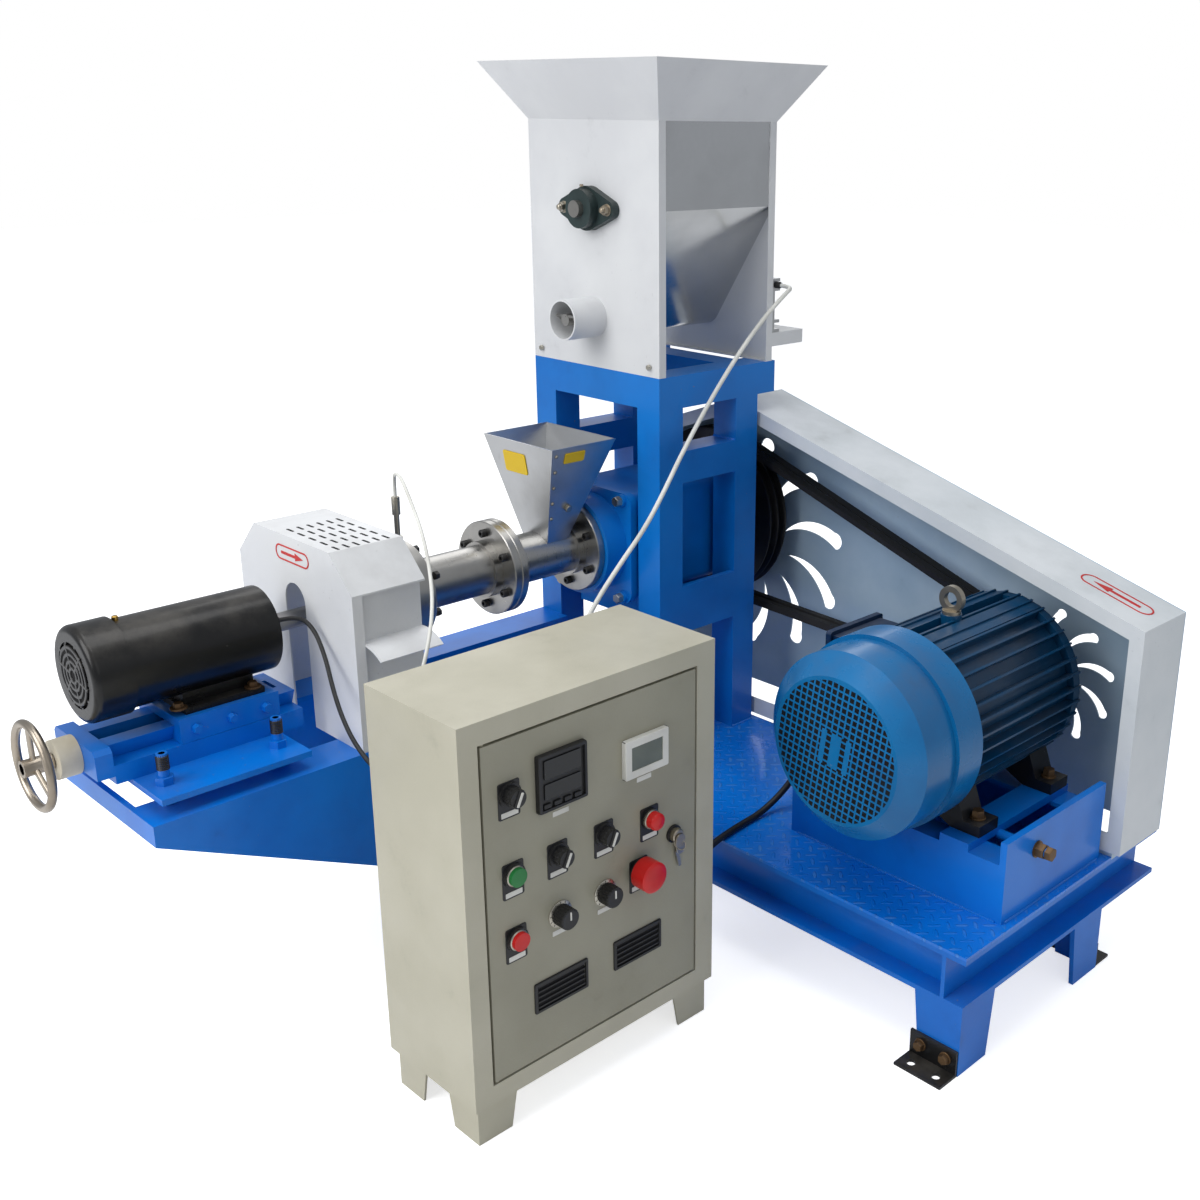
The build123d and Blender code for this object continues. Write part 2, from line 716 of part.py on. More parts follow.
with BuildPart() as feed_terminal_strip:
    strip_y0, strip_z1 = 3, feed_shelf_z1 + 86
    block(hopper_x, hopper_x + 8, strip_y0, strip_y0 + 40, feed_shelf_z1, strip_z1)
    for clip_z in (feed_shelf_z1, strip_z1 - 20):
        block(hopper_x + 8, hopper_x + 20, strip_y0, strip_y0 + 40, clip_z, clip_z + 5)
        block(hopper_x + 8, hopper_x + 20, strip_y0, strip_y0 + 40, clip_z + 15, clip_z + 20)
keep(feed_terminal_strip, "feed_terminal_strip")

# Drive shaft with the extruder screw, pulleys and belts

with BuildPart() as drive_shaft:
    round_bar(housing_x0 + shaft_shoulder, pulley_x1 + 4, screw_y, screw_z, drive_shaft_r)
    round_bar(front_barrel_x0 + 8, housing_x0 + shaft_shoulder, screw_y, screw_z, screw_core_r)
keep(drive_shaft, "drive_shaft")

groove_slope = (belt_top_w - belt_base_w) / 2 / belt_h


def grooved_pulley(radius, y, z):
    """Turns a belt pulley's rim, with its belt grooves, in the builder that is open."""
    round_bar(pulley_x0, pulley_x1, y, z, radius)
    depth = belt_h - belt_proud + groove_gap
    half_top = belt_top_w / 2 + groove_gap - belt_proud * groove_slope
    half_base = half_top - depth * groove_slope
    with BuildSketch(Plane.XZ.offset(-y)) as grooves:
        for centre in belt_centres:
            with BuildLine():
                Polyline(
                    (centre - half_top - groove_slope, z + radius + 1),
                    (centre - half_base, z + radius - depth),
                    (centre + half_base, z + radius - depth),
                    (centre + half_top + groove_slope, z + radius + 1),
                    close=True,
                )
            make_face()
    revolve(grooves.sketch, axis=Axis((0, y, z), (1, 0, 0)), mode=Mode.SUBTRACT)


with BuildPart() as drive_pulley:
    grooved_pulley(drive_pulley_r, screw_y, screw_z)
    recess = (pulley_x1 - pulley_x0 - pulley_web_t) / 2
    for face_x, depth in ((pulley_x0, recess), (pulley_x1, -recess)):
        with BuildSketch(across(face_x)):
            with Locations((screw_y, screw_z)):
                Circle(drive_pulley_r - pulley_rim_t)
                Circle(pulley_hub_r, mode=Mode.SUBTRACT)
        extrude(amount=depth, mode=Mode.SUBTRACT)
    with BuildSketch(across(pulley_x0)):
        with Locations((screw_y, screw_z)):
            with PolarLocations((drive_pulley_r - pulley_rim_t + pulley_hub_r) / 2, 4, start_angle=45):
                Circle(pulley_hole_r)
            Circle(drive_shaft_r + running_gap)
    extrude(amount=pulley_x1 - pulley_x0, mode=Mode.SUBTRACT)
keep(drive_pulley, "drive_pulley")

with BuildPart() as motor_pulley:
    grooved_pulley(motor_pulley_r, motor_y, motor_z)
    round_bar(motor_nose_x1 - motor_shaft_in, pulley_x1, motor_y, motor_z, motor_shaft_r)
keep(motor_pulley, "motor_pulley")

with BuildPart() as v_belts:
    run_y, run_z = motor_y - screw_y, motor_z - screw_z
    heading = atan2(run_z, run_y)
    big, small = drive_pulley_r + belt_proud, motor_pulley_r + belt_proud
    lean = acos((big - small) / hypot(run_y, run_z))
    for centre in belt_centres:
        around = []
        for hub_y, hub_z, radius, angle in (
            (screw_y, screw_z, big, heading + lean),
            (motor_y, motor_z, small, heading + lean),
            (motor_y, motor_z, small, heading),
            (motor_y, motor_z, small, heading - lean),
            (screw_y, screw_z, big, heading - lean),
            (screw_y, screw_z, big, heading + pi),
        ):
            around.append((centre, hub_y + radius * cos(angle), hub_z + radius * sin(angle)))
        with BuildLine() as belt_back:
            Line(around[0], around[1])
            ThreePointArc(around[1], around[2], around[3])
            Line(around[3], around[4])
            ThreePointArc(around[4], around[5], around[0])
        leaving = heading + lean - pi / 2
        with BuildSketch(Plane(around[0], x_dir=(1, 0, 0), z_dir=(0, cos(leaving), sin(leaving)))):
            with BuildLine():
                Polyline(
                    (-belt_top_w / 2, 0),
                    (belt_top_w / 2, 0),
                    (belt_base_w / 2, belt_h),
                    (-belt_base_w / 2, belt_h),
                    close=True,
                )
            make_face()
        sweep(path=belt_back.wire())
keep(v_belts, "v_belts")

# Main motor and the frame it stands on

with BuildPart() as main_motor:
    with BuildSketch(across(motor_cowl_x1)):
        with Locations((motor_y, motor_z)):
            Circle(motor_core_r)
            with PolarLocations(motor_core_r + fin_h / 2 - 1, fin_count, start_angle=5):
                Rectangle(fin_h + 2, fin_t)
            with PolarLocations(motor_core_r, 3, start_angle=45, angular_range=90):
                Rectangle(2 * fin_h - 6, 34)
    extrude(amount=motor_body_x1 - motor_cowl_x1)
    round_bar(motor_cowl_x1, motor_cowl_x1 + shield_t, motor_y, motor_z, shield_r)
    round_bar(motor_body_x1 - shield_t, motor_body_x1, motor_y, motor_z, shield_r)
    with BuildSketch(across(motor_body_x1)):
        with Locations((motor_y, motor_z)):
            Circle(motor_nose_r)
    extrude(amount=motor_nose_len, taper=20)
    upright(eye_x, motor_y, motor_z, eye_base_z, 15)
    round_bar(
        motor_nose_x1 - motor_shaft_in, motor_nose_x1 + 1, motor_y, motor_z,
        motor_shaft_r + running_gap, Mode.SUBTRACT,
    )
keep(main_motor, "main_motor")

with BuildPart() as main_motor_feet:
    for foot_x in (motor_foot_x0, motor_foot_x0 + motor_foot_pitch_x):
        half = motor_foot_pitch_y / 2 + 24
        prism(
            across(foot_x - 22),
            [
                (motor_y - half, motor_foot_z),
                (motor_y - half, motor_foot_z + motor_foot_h),
                (motor_y - half + 26, motor_foot_z + motor_foot_h),
                (motor_y - 84, motor_z - 60),
                (motor_y + 84, motor_z - 60),
                (motor_y + half - 26, motor_foot_z + motor_foot_h),
                (motor_y + half, motor_foot_z + motor_foot_h),
                (motor_y + half, motor_foot_z),
                (motor_y + half - 46, motor_foot_z),
                (motor_y + 40, motor_z - motor_core_r),
                (motor_y - 40, motor_z - motor_core_r),
                (motor_y - half + 46, motor_foot_z),
            ],
            44,
        )
    fin_tip_r = hypot(motor_core_r + fin_h, fin_t / 2)
    round_bar(motor_cowl_x1, motor_body_x1, motor_y, motor_z, fin_tip_r, Mode.SUBTRACT)
keep(main_motor_feet, "main_motor_feet")

with BuildPart() as lifting_eye:
    upright(eye_x, motor_y, eye_base_z, eye_base_z + 5, 13)
    with BuildSketch(across(eye_x - eye_t / 2)):
        with Locations((motor_y, eye_base_z + 2 + eye_outer_r)):
            Circle(eye_outer_r)
            Circle(eye_inner_r, mode=Mode.SUBTRACT)
    extrude(amount=eye_t)
keep(lifting_eye, "lifting_eye")

with BuildPart() as motor_cowl:
    axis_line = Axis((0, motor_y, motor_z), (1, 0, 0))
    cone_x1, step_x = motor_fan_x + 26, motor_cowl_x1 - 52
    with BuildSketch(Plane.XZ.offset(-motor_y)):
        with BuildLine():
            Polyline(
                (motor_fan_x, motor_z),
                (motor_fan_x, motor_z + cowl_face_r),
                (cone_x1, motor_z + cowl_step_r),
                (step_x, motor_z + cowl_step_r),
                (step_x, motor_z + cowl_r),
                (motor_cowl_x1, motor_z + cowl_r),
                (motor_cowl_x1, motor_z + cowl_r - cowl_wall),
                (step_x + cowl_wall, motor_z + cowl_r - cowl_wall),
                (step_x + cowl_wall, motor_z + cowl_step_r - cowl_wall),
                (cone_x1 + 1, motor_z + cowl_step_r - cowl_wall),
                (motor_fan_x + cowl_wall, motor_z + cowl_face_r - 1),
                (motor_fan_x + cowl_wall, motor_z),
                close=True,
            )
        make_face()
    revolve(axis=axis_line)
    with BuildSketch(across(motor_cowl_x1 - 12)):
        with Locations((motor_y, motor_z)):
            Circle(cowl_r - cowl_wall / 2)
            Circle(shield_r - 8, mode=Mode.SUBTRACT)
    extrude(amount=12)
keep(motor_cowl, "motor_cowl")

with BuildPart() as motor_terminal_box:
    box_x0, box_x1, box_z0, box_z1 = terminal_box
    cover_y = terminal_box_y - terminal_cover_t
    block(box_x0, box_x1, motor_y + motor_core_r - 8, cover_y, box_z0, box_z1)
    lip = terminal_cover_lip
    block(box_x0 - lip, box_x1 + lip, cover_y, terminal_box_y, box_z0 - lip, box_z1 + lip)
    fillet(motor_terminal_box.edges().filter_by(Axis.Y).group_by(Axis.Y)[-1], 5)
    with BuildSketch(Plane.XY.offset(box_z0 - 14)):
        with Locations(((box_x0 + box_x1) / 2, motor_gland_y)):
            RegularPolygon(main_gland_r, 6)
    extrude(amount=14)
    with BuildSketch(across(motor_cowl_x1 + shield_t)):
        with Locations((motor_y, motor_z)):
            Circle(motor_core_r + fin_h + 0.3)
    extrude(amount=motor_body_x1 - motor_cowl_x1 - 2 * shield_t, mode=Mode.SUBTRACT)
keep(motor_terminal_box, "motor_terminal_box")

with BuildPart() as motor_frame:
    for side_x, open_side in ((rail_x0, 1), (rail_x1, -1)):
        prism(
            Plane(origin=(side_x, rail_y0, deck_z), x_dir=(open_side, 0, 0), z_dir=(0, -open_side, 0)),
            [
                (0, 0),
                (rail_channel_w, 0),
                (rail_channel_w, 7),
                (6, 7),
                (6, rail_top_z - deck_z - 7),
                (rail_channel_w, rail_top_z - deck_z - 7),
                (rail_channel_w, rail_top_z - deck_z),
                (0, rail_top_z - deck_z),
            ],
            -open_side * (rail_y1 - rail_y0),
        )
    for end_y in (rail_y0, rail_y1 - rail_plate_t):
        block(rail_x0, rail_x1, end_y, end_y + rail_plate_t, deck_z, rail_plate_top_z)
    for bar_y in (motor_y - motor_foot_pitch_y / 2, motor_y + motor_foot_pitch_y / 2):
        block(
            rail_x0, rail_x1, bar_y - cross_bar_w / 2, bar_y + cross_bar_w / 2,
            rail_top_z, rail_top_z + cross_bar_t,
        )
    with BuildSketch(Plane.XZ.offset(-rail_y0 + 22)):
        with Locations((rail_x0 + 75, rail_top_z - 1)):
            Circle(7)
    extrude(amount=-90)
keep(motor_frame, "motor_frame")

# Belt guard


def guard_profile(inset, bottom_z):
    """The guard's outline seen along the screw, drawn in by a margin all round except at the bottom."""
    near = atan2(guard_peak_z - guard_near_top, guard_peak_y - guard_y0)
    far = atan2(guard_peak_z - guard_far_top, guard_y1 - guard_peak_y)
    return [
        (guard_y0 + inset, bottom_z),
        (guard_y0 + inset, guard_near_top - inset * tan(pi / 4 - near / 2)),
        (guard_peak_y + inset * sin((near - far) / 2) / cos((near + far) / 2),
         guard_peak_z - inset * cos((near - far) / 2) / cos((near + far) / 2)),
        (guard_y1 - inset, guard_far_top - inset * tan(pi / 4 - far / 2)),
        (guard_y1 - inset, bottom_z),
    ]


with BuildPart() as guard_back:
    prism(across(guard_x1), guard_profile(0, guard_z0), -guard_wall)
    with BuildSketch(across(guard_x1)):
        for swirl_y, swirl_z, size in guard_swirls:
            for step in range(swirl_count):
                start = radians(swirl_start + step * 360 / swirl_count)
                finish = start + radians(swirl_sweep)
                reach = size * swirl_bulb_at
                bulb = size * swirl_bulb_r
                tip = Vector(
                    swirl_y + size * swirl_tip_at * cos(start), swirl_z + size * swirl_tip_at * sin(start)
                )
                middle = Vector(swirl_y + reach * cos(finish), swirl_z + reach * sin(finish))
                spine = middle - tip
                along = spine.normalized()
                aside = Vector(along.Y, -along.X)
                with BuildLine():
                    ThreePointArc(
                        tip, tip + spine * 0.5 + aside * size * swirl_belly, middle + aside * bulb
                    )
                    ThreePointArc(middle + aside * bulb, middle + along * bulb, middle - aside * bulb)
                    ThreePointArc(
                        middle - aside * bulb, tip + spine * 0.5 + aside * size * swirl_hollow, tip
                    )
                make_face()
    extrude(amount=-guard_wall, mode=Mode.SUBTRACT)
keep(guard_back, "guard_back")

with BuildPart() as guard_rim:
    prism(across(guard_x0), guard_profile(0, guard_z0), guard_x1 - guard_wall - guard_x0)
    prism(across(guard_x0), guard_profile(guard_lip, guard_z0 - 1), guard_wall, mode=Mode.SUBTRACT)
    prism(across(guard_x0 + guard_wall), guard_profile(guard_wall, guard_z0 - 1), guard_x1 - guard_x0, mode=Mode.SUBTRACT)
    block(guard_x0, guard_x0 + guard_wall, guard_y0, guard_y1, guard_z0, guard_z0 + guard_bar)
keep(guard_rim, "guard_rim")

with BuildPart() as guard_supports:
    for strip_y in (base_y0, base_y1 - channel_flange):
        block(base_x1, guard_x1, strip_y, strip_y + channel_flange, foot_h + channel_h, guard_z0)
    for spacer_y, spacer_z in ((post / 2, guard_peak_z - 24), (stand_y - post / 2, guard_far_top + 14)):
        round_bar(stand_x, guard_x0, spacer_y, spacer_z, 7)
keep(guard_supports, "guard_supports")

# Cutter: cantilever, slide, carriage, motor, knife head, cover and handwheel

with BuildPart() as cantilever:
    side_shape = [
        (arm_x0, arm_top_z),
        (0, arm_top_z),
        (0, deck_z),
        (base_x0, deck_z),
        (base_x0, foot_h),
        (arm_slope_x, foot_h),
        (arm_x0, arm_top_z - arm_nose_h),
    ]
    for side_y in (0, stand_y - arm_t):
        prism(Plane.XZ.offset(-side_y), side_shape, -arm_t)
    for flange_y0, flange_y1 in ((arm_t, arm_flange), (stand_y - arm_flange, stand_y - arm_t)):
        block(arm_x0, 0, flange_y0, flange_y1, arm_top_z - arm_t, arm_top_z)
    block(arm_x0, arm_x0 + arm_t, arm_t, stand_y - arm_t, arm_top_z - arm_nose_h, arm_top_z)
    for stud_x in (plate_x0 + stud_inset, plate_x1 - stud_inset):
        for stud_y in (screw_y - stud_half_y, screw_y + stud_half_y):
            upright(stud_x, stud_y, arm_top_z - 30, arm_top_z + 1, stud_r + 0.4, Mode.SUBTRACT)
keep(cantilever, "cantilever")

with BuildPart() as slide_base_plate:
    block(
        plate_x0, plate_x1, screw_y - plate_half_y, screw_y + plate_half_y,
        plate_top_z - plate_t, plate_top_z,
    )
    for stud_x in (plate_x0 + stud_inset, plate_x1 - stud_inset):
        for stud_y in (screw_y - stud_half_y, screw_y + stud_half_y):
            upright(stud_x, stud_y, arm_top_z - arm_t - 16, stud_top_z, stud_r)
            for nut_z in (arm_top_z - arm_t - nut_h, arm_top_z, plate_top_z):
                with BuildSketch(Plane.XY.offset(nut_z)):
                    with Locations((stud_x, stud_y)):
                        RegularPolygon(nut_r, 6)
                extrude(amount=nut_h)
keep(slide_base_plate, "slide_base_plate")

with BuildPart() as slide_base:
    block(
        slide_x0, slide_x1, screw_y - slide_half_y, screw_y + slide_half_y, plate_top_z, slide_base_z1
    )
    prism(
        across(slide_x0),
        [
            (screw_y - way_half_foot, slide_base_z1),
            (screw_y - way_half_top, way_top_z),
            (screw_y + way_half_top, way_top_z),
            (screw_y + way_half_foot, slide_base_z1),
        ],
        slide_x1 - slide_x0,
    )
    block(
        slide_x0, slide_x1 - 12, screw_y - nut_half - 2, screw_y + nut_half + 2,
        lead_screw_z - nut_half - 2, way_top_z, Mode.SUBTRACT,
    )
keep(slide_base, "slide_base")

with BuildPart() as slide_end_block:
    block(
        slide_x0 - end_block_t, slide_x0, screw_y - slide_half_y, screw_y + slide_half_y,
        end_block_z0, end_block_z1,
    )
    chamfer(slide_end_block.edges().filter_by(Axis.X).group_by(Axis.Z)[-1], 6)
    round_bar(bush_x0, slide_x0 - end_block_t, screw_y, lead_screw_z, bush_r)
    round_bar(
        bush_x0, slide_x0, screw_y, lead_screw_z, lead_screw_r + running_gap, Mode.SUBTRACT
    )
keep(slide_end_block, "slide_end_block")

with BuildPart() as handwheel:
    round_bar(wheel_x - 14, bush_x0 - 2, screw_y, lead_screw_z, wheel_hub_r)
    round_bar(bush_x0 - 2, slide_x1 - 14, screw_y, lead_screw_z, lead_screw_r)
    with BuildSketch(Plane.XZ.offset(-screw_y)):
        with Locations((wheel_x, lead_screw_z + wheel_r)):
            Circle(wheel_rim_r)
    revolve(axis=Axis((0, screw_y, lead_screw_z), (1, 0, 0)))
    for turn in (90, 210, 330):
        spoke_plane = Plane(
            origin=(wheel_x, screw_y, lead_screw_z),
            x_dir=(1, 0, 0),
            z_dir=(0, cos(radians(turn)), sin(radians(turn))),
        )
        with BuildSketch(spoke_plane):
            SlotOverall(10, 6, rotation=90)
        extrude(amount=wheel_r)
keep(handwheel, "handwheel")

with BuildPart() as cutter_carriage:
    carriage_z0 = slide_base_z1 + way_gap
    block(
        carriage_x0, carriage_x1, screw_y - slide_half_y + 1, screw_y + slide_half_y - 1,
        carriage_z0, carriage_top_z,
    )
    prism(
        across(carriage_x0),
        [
            (screw_y - way_half_foot - way_gap, slide_base_z1),
            (screw_y - way_half_top - way_gap * 2, way_top_z + way_gap),
            (screw_y + way_half_top + way_gap * 2, way_top_z + way_gap),
            (screw_y + way_half_foot + way_gap, slide_base_z1),
        ],
        carriage_x1 - carriage_x0, mode=Mode.SUBTRACT,
    )
    nut_x = (carriage_x0 + carriage_x1) / 2
    block(
        nut_x - 18, nut_x + 18, screw_y - nut_half, screw_y + nut_half,
        lead_screw_z - nut_half, way_top_z + 2,
    )
    round_bar(
        carriage_x0, carriage_x1, screw_y, lead_screw_z, lead_screw_r + running_gap, Mode.SUBTRACT
    )
keep(cutter_carriage, "cutter_carriage")

with BuildPart() as cutter_motor:
    round_bar(cutter_cowl_x1, cutter_motor_x1, screw_y, screw_z, cutter_body_r)
    block(
        carriage_x0 + 14, carriage_x1 - 14, screw_y - cutter_foot_half_y, screw_y + cutter_foot_half_y,
        carriage_top_z, carriage_top_z + cutter_foot_t,
    )
    block(
        carriage_x0 + 20, carriage_x1 - 20, screw_y - 32, screw_y + 32,
        carriage_top_z + cutter_foot_t, screw_z - 40,
    )
    round_bar(
        cutter_motor_x1 - 20, cutter_motor_x1, screw_y, screw_z, coupling_r + running_gap, Mode.SUBTRACT
    )
keep(cutter_motor, "cutter_motor")

with BuildPart() as cutter_motor_cowl:
    round_bar(cutter_motor_x0, cutter_cowl_x1, screw_y, screw_z, cutter_cowl_r)
    fillet(cutter_motor_cowl.edges().filter_by(GeomType.CIRCLE).sort_by(Axis.X)[0], 9)
    with BuildSketch(across(cutter_motor_x0)):
        with Locations((screw_y, screw_z)):
            for ring_r in grille_rings:
                Circle(ring_r + grille_slot / 2)
                Circle(ring_r - grille_slot / 2, mode=Mode.SUBTRACT)
            with PolarLocations(0, 5):
                Rectangle(2 * cutter_cowl_r, grille_slot, mode=Mode.SUBTRACT)
    extrude(amount=grille_depth, mode=Mode.SUBTRACT)
keep(cutter_motor_cowl, "cutter_motor_cowl")

with BuildPart() as cutter_head:
    knife_x1 = die_face_x - knife_gap
    round_bar(cutter_motor_x1 - 20, knife_x1 - knife_hub_len, screw_y, screw_z, coupling_r)
    round_bar(knife_x1 - knife_hub_len, knife_x1, screw_y, screw_z, knife_hub_r)
    with BuildSketch(across(knife_x1)):
        with Locations((screw_y, screw_z)):
            with PolarLocations(knife_len / 2, 4):
                Rectangle(knife_len, knife_w)
    extrude(amount=-knife_t)
keep(cutter_head, "cutter_head")


def cover_profile(inset, bottom_z):
    """The cover's arched outline seen along the screw, drawn in by the sheet's thickness."""
    bevel = atan2(cover_top_z - cover_shoulder_z, cover_half_y - cover_top_half_y)
    shoulder = cover_shoulder_z - inset * tan(bevel / 2) * 0.6
    half, half_top = cover_half_y - inset, cover_top_half_y - inset * tan(bevel / 2)
    return [
        (screw_y - half, bottom_z),
        (screw_y - half, shoulder),
        (screw_y - half_top, cover_top_z - inset),
        (screw_y + half_top, cover_top_z - inset),
        (screw_y + half, shoulder),
        (screw_y + half, bottom_z),
    ]


with BuildPart() as cutter_cover:
    prism(across(cover_x0), cover_profile(0, arm_top_z), cover_x1 - cover_x0)
    prism(across(cover_x0 + cover_wall), cover_profile(cover_wall, arm_top_z - 1), cover_x1 - cover_x0, mode=Mode.SUBTRACT)
    with BuildSketch(across(cover_x0)):
        with Locations((screw_y, cover_slot_z)):
            Circle(cover_slot_r)
        with Locations((screw_y, (cover_slot_z + arm_top_z) / 2)):
            Rectangle(2 * cover_slot_r, cover_slot_z - arm_top_z + 1)
    extrude(amount=cover_wall, mode=Mode.SUBTRACT)
    wall_y = screw_y - cover_half_y
    lip_y = wall_y + cover_recess
    panel_x0 = cover_x0 + cover_margin
    block(
        panel_x0, cover_x1, wall_y - 1, wall_y + cover_wall, arm_top_z, cover_shoulder_z, Mode.SUBTRACT
    )
    block(panel_x0 - cover_wall, cover_x1, wall_y, lip_y, cover_shoulder_z - cover_wall, cover_shoulder_z)
    block(panel_x0 - cover_wall, panel_x0, wall_y, lip_y, arm_top_z, cover_shoulder_z)
    block(panel_x0 - cover_wall, cover_x1, lip_y, lip_y + cover_wall, arm_top_z, cover_shoulder_z)
    with BuildSketch(Plane.XY.offset(cover_top_z)):
        with Locations(((cover_x0 + cover_x1) / 2, screw_y - 28)):
            with GridLocations(cover_vent_pitch[0], cover_vent_pitch[1], 6, 5):
                Rectangle(cover_vent[0], cover_vent[1])
    extrude(amount=-cover_wall, mode=Mode.SUBTRACT)
    with BuildSketch(across(panel_x0)):
        with BuildLine():
            outer = ThreePointArc(
                (lip_y + 1, cover_lip_z), (lip_y - 30, cover_lip_z - 3), (lip_y - 49, cover_lip_z - 14)
            )
            inner = ThreePointArc(
                (lip_y + 1, cover_lip_z - 3), (lip_y - 29, cover_lip_z - 6), (lip_y - 47, cover_lip_z - 16)
            )
            Line(outer @ 0, inner @ 0)
            Line(outer @ 1, inner @ 1)
        make_face()
    extrude(amount=cover_x1 - panel_x0)
keep(cutter_cover, "cutter_cover")

with BuildPart() as probe:
    probe_x = front_barrel_x0 - 12
    upright(probe_x, screw_y, screw_z + die_head_r, probe_top_z, 4)
    upright(probe_x, screw_y, probe_top_z - 26, probe_top_z, 6)
    with BuildSketch(Plane.XY.offset(screw_z + die_head_r + 0.3)):
        with Locations((probe_x, screw_y)):
            RegularPolygon(8, 6)
    extrude(amount=8)
keep(probe, "probe")

# Control cabinet

cab_x1, cab_y1, cab_z1 = cab_x0 + cab_w, cab_y0 + cab_d, cab_z0 + cab_h
opening = (
    cab_x0 + door_x0 - door_gap,
    cab_x0 + door_x1 + door_gap,
    door_z0 - door_gap,
    door_z1 + door_gap,
)

with BuildPart() as cabinet_shell:
    block(cab_x0, cab_x1, cab_y0, cab_y1, cab_z0, cab_z1)
    block(
        cab_x0 + cab_wall, cab_x1 - cab_wall, cab_y0 + cab_wall, cab_y1 - cab_wall,
        cab_z0 + cab_wall, cab_z1 - cab_wall, Mode.SUBTRACT,
    )
    left, right, low, high = opening
    block(
        left - cab_wall, right + cab_wall, cab_y0, cab_y0 + door_t, low - cab_wall, high + cab_wall
    )
    block(left, right, cab_y0 - 1, cab_y0 + door_t + 1, low, high, Mode.SUBTRACT)
    for pin_z0, pin_z1 in ((low - 1, door_z0 + hinge_pin_in), (door_z1 - hinge_pin_in, high + 1)):
        upright(cab_x0 + door_x0 + hinge_in, cab_y0 + hinge_in, pin_z0, pin_z1, hinge_r)
    for corner_x, inward_x in ((cab_x0 + cab_foot_inset, 1), (cab_x1 - cab_foot_inset, -1)):
        for corner_y, inward_y in ((cab_y0 + cab_foot_inset, 1), (cab_y1 - cab_foot_inset, -1)):
            tapered = [(0, 0), (cab_foot_bottom_w, 0), (cab_foot_w, cab_z0), (0, cab_z0)]
            prism(
                Plane(
                    origin=(corner_x, corner_y, 0), x_dir=(inward_x, 0, 0), z_dir=(0, -inward_x, 0)
                ),
                tapered,
                -cab_foot_t * inward_x * inward_y,
            )
            prism(
                Plane(
                    origin=(corner_x, corner_y, 0), x_dir=(0, inward_y, 0), z_dir=(inward_y, 0, 0)
                ),
                tapered,
                cab_foot_t * inward_x * inward_y,
            )
    for gland_x, gland_z in (hopper_gland, probe_gland, cutter_gland):
        with BuildSketch(Plane.XZ.offset(-cab_y1)):
            with Locations((gland_x, gland_z)):
                RegularPolygon(gland_r, 6)
        extrude(amount=-gland_len)
    with BuildSketch(across(cab_x1)):
        with Locations(main_gland):
            RegularPolygon(main_gland_r, 6)
    extrude(amount=gland_len)
keep(cabinet_shell, "cabinet_shell")

with BuildPart() as cabinet_door:
    door_left, door_right = cab_x0 + door_x0, cab_x0 + door_x1
    block(door_left, door_right, cab_y0, cab_y0 + door_t, door_z0, door_z1)
    block(
        door_left + 2 * hinge_in, door_right - cab_wall, cab_y0 + cab_wall, cab_y0 + door_t,
        door_z0 + cab_wall, door_z1 - cab_wall, Mode.SUBTRACT,
    )
    for pin_z0, pin_z1 in ((door_z0, door_z0 + hinge_pin_in + 1), (door_z1 - hinge_pin_in - 1, door_z1)):
        upright(
            cab_x0 + door_x0 + hinge_in, cab_y0 + hinge_in, pin_z0, pin_z1,
            hinge_r + running_gap, Mode.SUBTRACT,
        )
    for w0, w1, z0, z1 in door_vents:
        slot_h = (z1 - z0) / (2 * vent_slots - 1)
        for step in range(vent_slots):
            block(
                cab_x0 + w0, cab_x0 + w1, cab_y0 - 1, cab_y0 + cab_wall + 1,
                z0 + 2 * step * slot_h, z0 + (2 * step + 1) * slot_h, Mode.SUBTRACT,
            )
keep(cabinet_door, "cabinet_door")

with BuildPart() as door_instruments:
    for (w0, w1, z0, z1), bezel, depth in (
        (controller_face, 5, 58),
        (meter_face, 6, 34),
    ):
        block(cab_x0 + w0, cab_x0 + w1, cab_y0 - bezel, cab_y0, z0, z1)
        block(
            cab_x0 + w0 + 3, cab_x0 + w1 - 3, cab_y0 + cab_wall, cab_y0 + cab_wall + depth,
            z0 + 3, z1 - 3,
        )
keep(door_instruments, "door_instruments")

with BuildPart() as door_controls:
    for w, z, bezel_r, bezel_h, knob_r, knob_h in round_controls:
        with BuildSketch(Plane(origin=(cab_x0 + w, cab_y0, z), x_dir=(1, 0, 0), z_dir=(0, -1, 0))):
            Circle(bezel_r)
        extrude(amount=bezel_h)
        with BuildSketch(
            Plane(origin=(cab_x0 + w, cab_y0 - bezel_h, z), x_dir=(1, 0, 0), z_dir=(0, -1, 0))
        ):
            Circle(knob_r)
        extrude(amount=knob_h)
keep(door_controls, "door_controls")

with BuildPart() as cabinet_back_plate:
    plate_y1 = cab_y1 - cab_wall - 12
    block(cab_x0 + 34, cab_x1 - 34, plate_y1 - 2, plate_y1, cab_z0 + 36, cab_z1 - 36)
    for post_x in (cab_x0 + 44, cab_x1 - 44):
        for post_z in (cab_z0 + 46, cab_z1 - 46):
            with BuildSketch(Plane.XZ.offset(-plate_y1)):
                with Locations((post_x, post_z)):
                    Circle(4)
            extrude(amount=-(cab_y1 - cab_wall - plate_y1))
    for x0, x1, z0, z1, depth in cabinet_units:
        block(
            cab_x0 + x0, cab_x0 + x1, plate_y1 - 2 - depth, plate_y1 - 2, cab_z0 + z0, cab_z0 + z1
        )
keep(cabinet_back_plate, "cabinet_back_plate")

# Cables between the machine and the cabinet, each as straight runs joined by arcs


